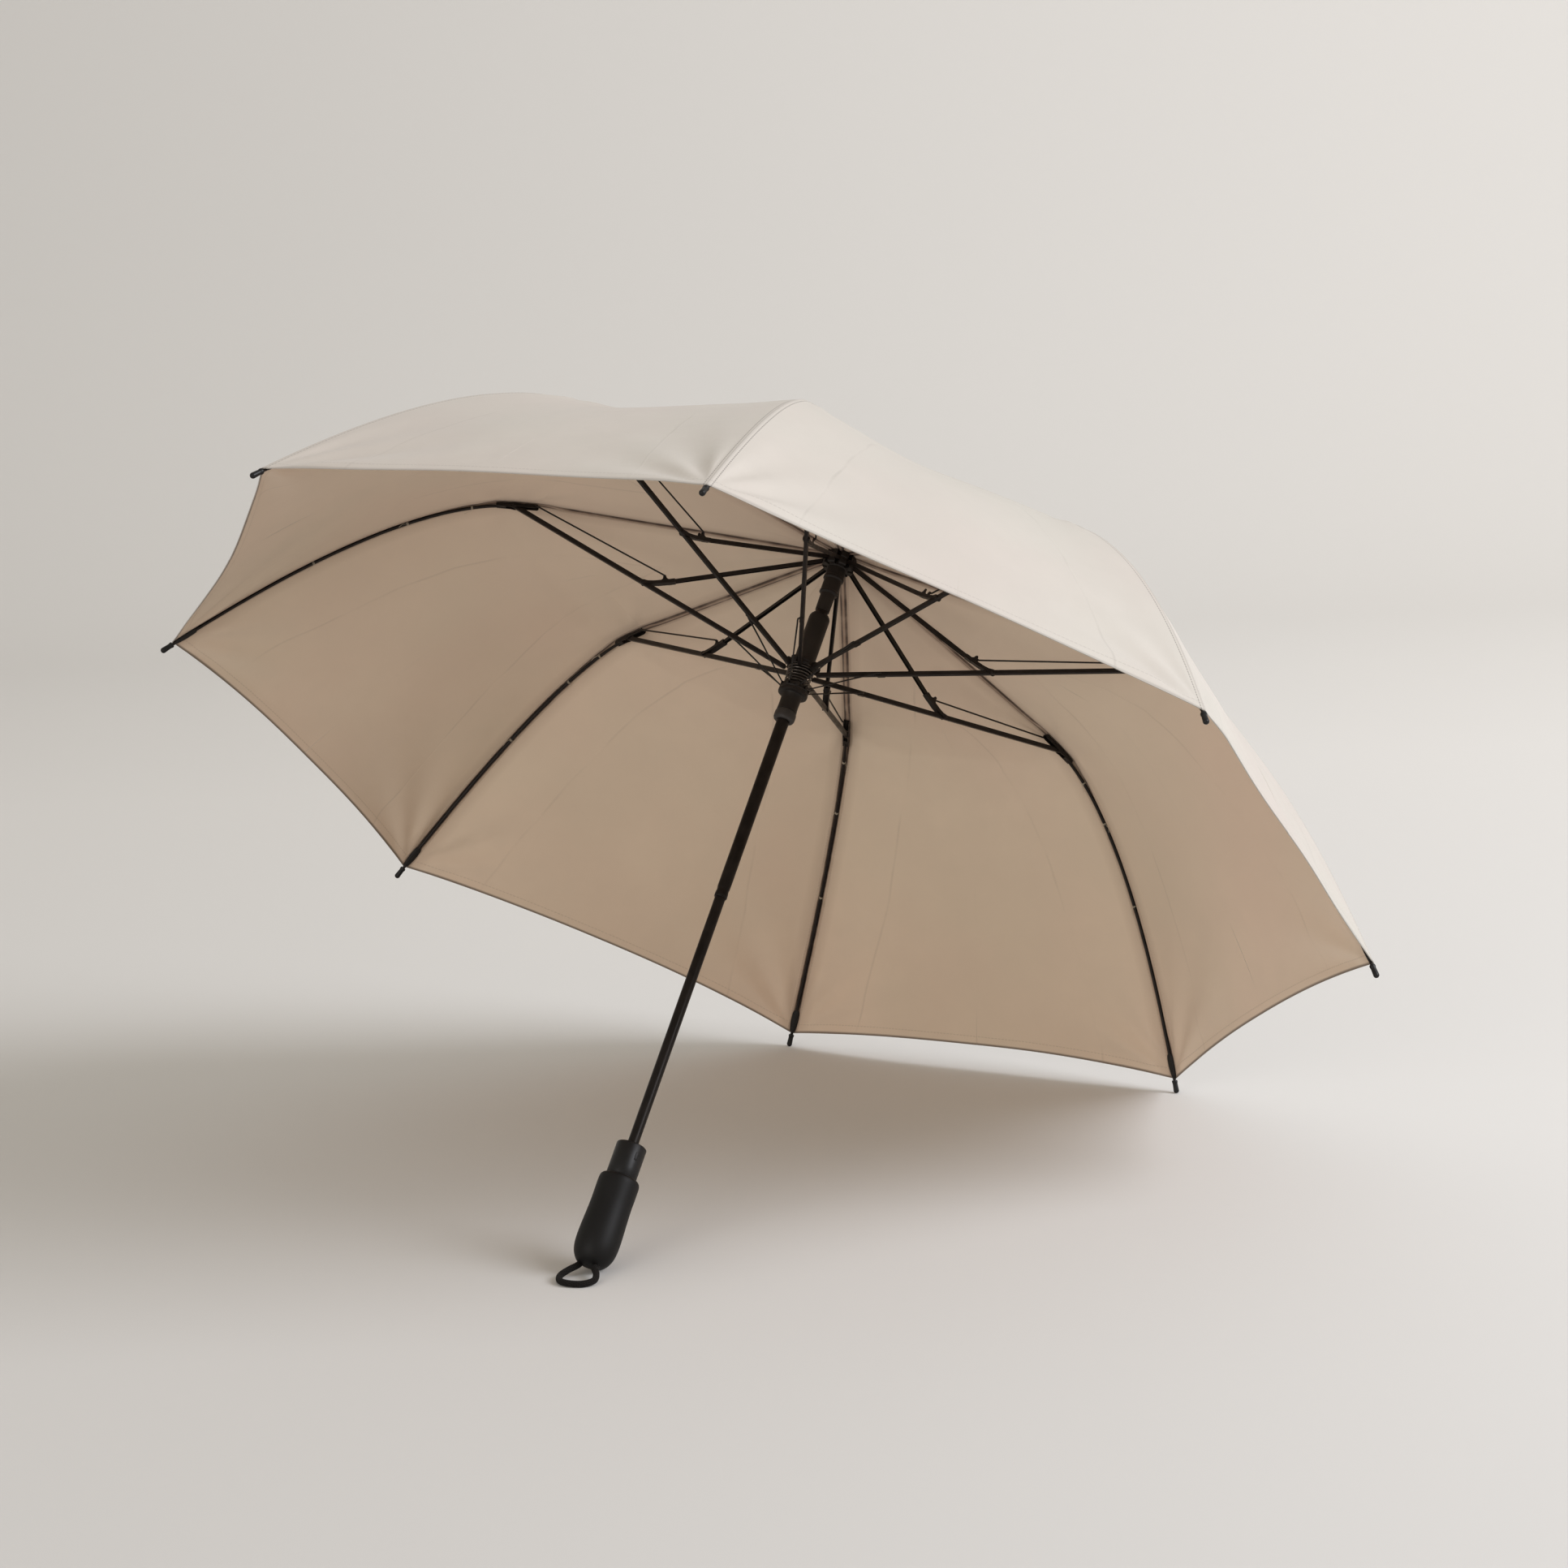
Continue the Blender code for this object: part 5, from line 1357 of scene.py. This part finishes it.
@dataclass
class Shaft:
    """Tubes, hub, crown cap, runner, slider and coil spring, all round one axis."""

    maker: Maker
    linkage: Linkage
    outer_radius: float = 5.1 * MM
    inner_radius: float = 4.25 * MM
    bore: float = 5.4 * MM
    tube_wall: float = 0.55 * MM
    inner_wall: float = 0.6 * MM
    outer_foot: float = -78.0 * MM
    outer_top: float = 227.6 * MM
    inner_foot: float = -370.0 * MM
    inner_top: float = -48.0 * MM
    hub_wire_radius: float = 10.5 * MM
    hub_wire_height: float = 227.5 * MM
    coil_turns: float = 7.2

    def add(
        self,
        name: str,
        shape: Shape,
        body: str,
        replaces: tuple[str, ...] = (),
        finish: str = "plastic",
        slot: Slot = Slot.PLASTIC,
    ) -> bpy.types.Object:
        """Make one piece of the shaft."""
        return self.maker.shaft_piece(
            name, shape, body=body, finish=finish, slot=slot, replaces=replaces, sharp=32.0
        )

    def slotted(self, floor: float, left: float, *profile: Pair) -> Shape:
        """Disc whose eight slots stand in the ribs' planes, from sizes in millimetres."""
        walls = (left * MM, 1.8 * MM)
        return notched(mm(*profile), floor * MM, walls, self.maker.stance.first_azimuth)

    def tubes(self) -> None:
        """Outer tube with rolled crimp and belled foot, and the inner tube."""
        r, foot, top = self.outer_radius, self.outer_foot, self.outer_top
        crimp = mm(
            (0.0, 9.0), (-0.12, 8.0), (-0.34, 6.8), (-0.34, 5.6), (-0.1, 4.4), (0.0, 3.6),
            (0.0, 0.5), (-0.25, 0.0),
        )
        bore = r - self.tube_wall
        rows = np.vstack([[r, top], crimp + [r, foot], [[bore, foot], [bore, top]]])
        shape = turned(rows, 40, True)
        self.add("upper_tube", shape, "upper_shaft", ("outer_tube",), "tube", Slot.TUBE)
        r, foot, top = self.inner_radius, self.inner_foot, self.inner_top
        bore = r - self.inner_wall
        shape = turned(np.array([(r, top), (r, foot), (bore, foot), (bore, top)]), 40, True)
        self.add("lower_tube", shape, "handle", ("inner_tube",), "tube", Slot.TUBE)

    def hub(self) -> None:
        """Toothed disc with its wire ring, stepped sleeve and crown cap."""
        disc = self.slotted(
            8.6, -1.8,
            (13.0, 233.2), (12.4, 234.0), (8.0, 234.0), (8.0, 222.0), (12.2, 222.0),
            (13.0, 222.8), (13.0, 226.0), (12.5, 226.6), (12.5, 228.4), (13.0, 229.0),
        )
        core = mm(
            (8.3, 233.6), (8.3, 222.0), (7.7, 221.4), (7.7, 214.2), (8.3, 213.6), (8.3, 211.6),
            (7.7, 211.0), (7.2, 210.6), (7.2, 200.6), (7.6, 200.0), (7.6, 198.6), (7.0, 198.2),
            (6.0, 197.4), (5.8, 182.6), (5.6, 182.0), (5.4, 182.0), (5.4, 228.0), (2.8, 228.0),
            (2.8, 233.6),
        )
        turn = ROUND * np.arange(97) / 96
        ring = self.hub_wire_radius * np.stack([np.cos(turn), np.sin(turn)], -1)
        wire = swept(np.column_stack([ring, np.full(97, self.hub_wire_height)]), 0.7 * MM, 8)
        shape = disc.joined(turned(core, 48, True), wire)
        self.add("hub_disc", shape, "upper_shaft", ("crown_hub",))
        cap = mm(
            (0.0, 243.0), (5.0, 242.98), (8.0, 242.9), (9.6, 242.2), (11.0, 240.8),
            (11.8, 238.9), (12.0, 237.2), (11.9, 236.5), (2.5, 236.5), (2.5, 228.4), (0.0, 228.4),
        )
        self.add("crown_button", turned(cap), "upper_shaft", ("crown_cap",))

    def runner(self) -> None:
        """Sleeve with a bevelled mouth and a toothed head that the stretchers meet."""
        rows = mm(
            (5.9, 178.9), (6.6, 178.7), (7.7, 177.3), (8.4, 175.6), (8.5, 174.6), (8.5, 150.0),
            (8.5, 142.0), (8.5, 137.0), (9.0, 134.4), (9.2, 133.6), (10.4, 133.6),
            (10.4, 131.2), (6.4, 130.8), (6.4, 104.0), (5.4, 104.0), (5.4, 178.9),
        )
        head = self.slotted(
            10.5, -4.3,
            (14.4, 132.8), (13.8, 133.8), (9.6, 133.8), (9.6, 130.8), (11.5, 130.4),
            (11.5, 128.6), (13.6, 128.6), (14.1, 129.1), (13.6, 130.0), (13.6, 130.8),
            (14.4, 131.4),
        )
        self.add("runner_sleeve", turned(rows, 48, True).joined(head), "runner", ("runner",))

    def slider(self) -> None:
        """Notched flange, waisted sleeve and rounded lip below it."""
        sleeve = mm(
            (8.8, 112.3), (9.6, 112.0), (9.6, 104.4), (8.6, 104.0), (8.1, 103.2), (7.9, 98.0),
            (7.9, 93.0), (8.1, 89.6), (7.6, 89.2), (7.6, 88.6), (5.4, 88.6), (5.4, 96.0),
            (6.7, 96.0), (6.7, 112.3),
        )
        disc = self.slotted(
            10.0, -4.3,
            (11.9, 112.1), (11.4, 112.5), (9.0, 112.5), (9.0, 108.9), (11.7, 108.9),
            (11.9, 109.3),
        )
        rim = mm(
            (11.5, 109.1), (9.0, 109.1), (9.0, 104.0), (11.0, 104.0), (11.8, 104.3),
            (12.0, 105.2), (12.0, 106.6), (11.6, 107.1), (11.6, 108.0), (11.9, 108.5),
        )
        shape = turned(sleeve, 48, True).joined(disc, turned(rim, 64, True))
        self.add("slider_sleeve", shape, "lower_slider", ("lower_slider",))
        lip = mm(
            (7.4, 88.9), (8.2, 88.4), (8.6, 87.2), (8.7, 84.5), (8.5, 82.4), (8.0, 81.2),
            (7.2, 80.6), (5.4, 80.6), (5.4, 88.9),
        )
        self.add("slider_lip", turned(lip, 48, True), "lower_slider", finish="lip")

    def spring(self) -> None:
        """Conical coil: its radius grows evenly with height, with closed end turns."""
        share = np.linspace(0.0, 1.0, 241)
        radius = (9.3 + 1.2 * share) * MM
        rise = smooth_step(share) * 0.3 + share * 0.7
        height = (113.3 + (130.0 - 113.3) * rise) * MM
        angle = ROUND * self.coil_turns * share
        path = np.column_stack([radius * np.cos(angle), radius * np.sin(angle), height])
        coil = swept(path, 0.6 * MM, 10)
        piece = self.add("coil_spring", coil, "runner", ("runner_spring",), "steel", Slot.WIRE)
        up = self.maker.stance.up
        top = self.maker.stance.base + up * 130.4 * MM
        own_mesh(piece)

    def build(self) -> None:
        """Make every piece of the shaft."""
        self.tubes()
        self.hub()
        self.runner()
        self.slider()
        self.spring()


@dataclass
class Handle:
    """Grip, gloss collar, release button and wrist loop."""

    maker: Maker
    grip_top: float = -317.0 * MM
    grip_end: float = -389.6 * MM
    collar_top: float = -290.0 * MM
    button_drop: float = 10.0 * MM
    button_half: Pair = (1.5 * MM, 3.2 * MM)
    button_azimuth: float = math.radians(-25.0)
    cord_radius: float = 2.5 * MM
    loop: tuple[Triple, ...] = (
        (-7.5, 7.0, 9.9), (-7.5, 1.5, 8.7), (-7.5, -4.0, 7.6), (-11.2, -11.0, 5.6),
        (-13.2, -19.0, 3.4), (-7.8, -27.2, 2.6), (2.0, -29.2, 2.6), (11.8, -26.0, 2.7),
        (16.6, -18.5, 3.6), (13.4, -10.5, 5.7), (7.5, -4.0, 7.6), (7.5, 1.5, 8.7),
        (7.5, 7.0, 9.9),
    )

    def add(
        self, name: str, shape: Shape, body: str, node: str, finish: str, slot: Slot, sharp: float
    ) -> None:
        """Make one piece that stands for a solid round the shaft."""
        self.maker.shaft_piece(
            name, shape, body=body, finish=finish, slot=slot, replaces=(node,), sharp=sharp
        )

    def grip(self) -> None:
        """Soft grip: rounded shoulder, slight waist, swelling to a round heel."""
        knots = mm(
            (0.0, 0.0), (9.6, 0.0), (12.6, 0.05), (14.5, -0.7), (15.4, -2.2), (15.75, -4.6),
            (15.8, -9.0), (15.75, -15.0), (15.7, -21.0), (15.85, -27.0), (16.1, -33.0),
            (16.4, -39.0), (16.65, -45.0), (16.75, -51.0), (16.55, -56.5), (15.9, -61.0),
            (14.5, -65.2), (12.2, -68.9), (9.4, -71.4), (5.6, -72.5), (0.0, -72.6),
        )
        shown = np.vstack([knots[:2], smooth_path(knots[1:-1], 70)[1:], knots[-1:]])
        shape = turned(shown + [0.0, self.grip_top], 64)
        self.add("soft_grip", shape, "handle", "grip", "grip", Slot.GRIP, 50.0)

    def collar(self) -> None:
        """Gloss collar with rounded rim and a fine ring above the grip."""
        rows = mm(
            (4.55, 0.0), (9.8, 0.0), (10.8, -0.15), (11.45, -0.55), (11.75, -1.2),
            (11.75, -20.0), (11.75, -25.6), (11.55, -26.0), (11.55, -27.0), (4.55, -27.0),
        )
        shape = turned(rows + [0.0, self.collar_top], 64, True)
        self.add("gloss_collar", shape, "handle", "grip_collar", "collar", Slot.COLLAR, 50.0)

    def button(self) -> None:
        """Release button: rounded oblong layers that follow the collar's cylinder."""
        turn = np.linspace(0.0, ROUND, 41)[:-1]
        squircle = 2 / 5
        waves = np.array([np.cos(turn), np.sin(turn)])
        rounded = np.sign(waves) * np.abs(waves) ** squircle
        wide, tall = rounded * np.array(self.button_half)[:, None]
        layers = np.array(
            [(8.9, 0.0), (8.9, 1.0), (11.85, 1.0), (12.05, 0.93), (12.12, 0.8), (12.05, 0.0)]
        )
        radius, share = layers[:, :1] * MM, layers[:, 1:]
        out = np.sqrt(radius**2 - (wide * share) ** 2)
        stack = np.stack([out, wide * share, tall * share], -1).reshape(-1, 3)
        cosine, sine = math.cos(self.button_azimuth), math.sin(self.button_azimuth)
        points = stack @ np.array([[cosine, sine, 0.0], [-sine, cosine, 0.0], [0.0, 0.0, 1.0]])
        points += [0.0, 0.0, self.collar_top - self.button_drop]
        shape = Shape(points, grid_faces(len(layers), len(turn)).tolist())
        node = "release_button"
        self.add("slide_button", shape, node, node, "collar", Slot.PLASTIC, 45.0)

    def wrist_loop(self) -> None:
        """Braided cord out of one hole in the grip's heel, over the floor and back in."""
        heel = self.maker.stance.base + self.maker.stance.up * self.grip_end
        path = smooth_path(mm(*self.loop) + [0.0, heel[1], 0.0], 70)
        piece = self.maker.piece(
            "loop_cord", swept(path, self.cord_radius, 20), "handle", "cord", Slot.CORD,
            replaces=("wrist_loop",), sharp=60.0, weld=False,
        )
        tuple(path[0])
        float(distances(path)[-1])
        2 * self.cord_radius

    def build(self) -> None:
        """Make every piece of the handle."""
        self.wrist_loop()
        self.grip()
        self.collar()
        self.button()


@dataclass(frozen=True)
class Lamp:
    """Square soft light that faces a point."""

    name: str
    place: Triple
    aim: Triple
    size: float
    power: float
    colour: Triple

    def build(self) -> None:
        """Add the light to the scene."""
        data = bpy.data.lights.new(self.name, "AREA")
        data.size = self.size
        data.energy = self.power
        data.color = self.colour
        lamp = bpy.data.objects.new(self.name, data)
        lamp.location = self.place
        lamp.rotation_mode = "QUATERNION"
        facing = Vector(self.aim) - Vector(self.place)
        lamp.rotation_quaternion = facing.to_track_quat("-Z", "Y")
        bpy.context.scene.collection.objects.link(lamp)


@dataclass
class Studio:
    """Plain pale floor and wall, soft lights and the camera."""

    location: Triple = (1.62362, -2.58905, 0.94905)
    turn: Colour = (0.749992, 0.604128, 0.185051, 0.195697)
    lens: float = 91.743
    sensor: float = 36.0
    azimuth: float = math.radians(31.6)
    half_width: float = 9.0
    front: float = -6.0
    depth: float = 2.6
    cove_radius: float = 1.6
    height: float = 5.0
    backdrop: Triple = (0.70, 0.688, 0.672)
    air: Colour = (1.0, 0.94, 0.84, 1.0)
    air_strength: float = 0.57
    lamps: tuple[Lamp, ...] = (
        Lamp("key_light", (4.2, 0.8, 2.95), (0.0, 0.0, 0.25), 2.4, 232.0, (0.91, 0.935, 1.0)),
        Lamp("front_light", (-0.3, -3.8, 1.1), (0.0, 0.0, 0.35), 2.0, 33.0, (1.0, 0.98, 0.955)),
    )

    def camera(self) -> None:
        """Put the camera where the photograph was taken from."""
        data = bpy.data.cameras.new("camera")
        data.lens = self.lens
        data.sensor_width = self.sensor
        camera = bpy.data.objects.new("camera", data)
        camera.location = self.location
        camera.rotation_mode = "QUATERNION"
        camera.rotation_quaternion = Quaternion(self.turn)
        bpy.context.scene.collection.objects.link(camera)
        bpy.context.scene.camera = camera

    def sweep(self) -> None:
        """Floor that curves up into a wall behind: one smooth sheet, flat and then round."""
        depth, radius = self.depth, self.cove_radius
        angle = np.linspace(0.0, math.pi / 2, 24)
        run = np.concatenate([[self.front, 0.0], depth + radius * np.sin(angle), [depth + radius]])
        rise = np.concatenate([[0.0, 0.0], radius * (1 - np.cos(angle)), [self.height]])
        cosine, sine = math.cos(self.azimuth), math.sin(self.azimuth)
        right, away = np.array([cosine, sine, 0.0]), np.array([-sine, cosine, 0.0])
        up = np.array([0.0, 0.0, 1.0])
        points = [
            right * side + away * ahead + up * above
            for ahead, above in zip(run, rise)
            for side in (-self.half_width, self.half_width)
        ]
        mesh = bpy.data.meshes.new("studio_sweep")
        mesh.from_pydata(np.array(points), [], grid_faces(len(run), 2, False).tolist())
        mesh.shade_smooth()
        mesh.materials.append(self.paper(right, away))
        floor = bpy.data.objects.new("studio_sweep", mesh)
        bpy.context.scene.collection.objects.link(floor)
        floor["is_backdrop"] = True

    def paper(self, right: np.ndarray, away: np.ndarray) -> bpy.types.Material:
        """Matt paper with painted light: it grows slowly lighter to the right and with the
        distance, as light falls across the sweep.

        Args:
            right: Direction to the right along the wall.
            away: Direction away from the camera.

        Returns:
            The finished material.
        """
        graph = Graph("studio_paper")
        place = graph.coordinates("Object")
        sideways, deep = (
            graph.add(
                "ShaderNodeVectorMath", {0: place, 1: tuple(way)}, operation="DOT_PRODUCT"
            ).outputs["Value"]
            for way in (right, away)
        )
        # Painted light: lighter to the right, lighter further away, and a little darker again high
        # up the wall.
        tone = graph.shades(sideways, (-1.4, 1.4), self.backdrop, (0.9, 1.06))
        for near, far, low, high in ((-0.8, 1.6, 0.89, 1.13), (2.2, 3.8, 1.0, 0.94)):
            tone = graph.mix(1.0, tone, graph.span(deep, (near, far), low, high), "MULTIPLY")
        graph.surface(tone, 0.95, Specular_IOR_Level=0.1)
        return graph.material

    def build(self) -> None:
        """Set up the studio."""
        self.camera()
        self.sweep()
        world = bpy.data.worlds.new("studio_air")
        world.use_nodes = True
        background = world.node_tree.nodes["Background"].inputs
        background["Color"].default_value = self.air
        background["Strength"].default_value = self.air_strength
        bpy.context.scene.world = world
        for lamp in self.lamps:
            lamp.build()
        bpy.context.scene.view_settings.view_transform = "Standard"


def record_sizes(before: tuple[Vector, Vector], after: tuple[Vector, Vector]) -> None:
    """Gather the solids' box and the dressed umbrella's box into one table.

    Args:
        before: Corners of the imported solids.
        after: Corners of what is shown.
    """
    boxes = {"cad": before, "visual": after}
    boxes = {name: [list(corner) for corner in box] for name, box in boxes.items()}


def main() -> None:
    """Dress the umbrella: camera and cord first, then cloth, ribs and shaft."""
    logging.basicConfig(level=logging.INFO, format="%(message)s")
    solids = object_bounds()
    linkage = Linkage()
    maker = Maker(Stance(frame["joints"], linkage), Finishes())
    Studio().build()
    Handle(maker).build()
    Canopy(maker, linkage).build()
    for number in RIB_NUMBERS:
        Rib(maker, linkage, number).build()
    Shaft(maker, linkage).build()
    record_sizes(solids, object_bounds())


if __name__ == "__main__":
    main()
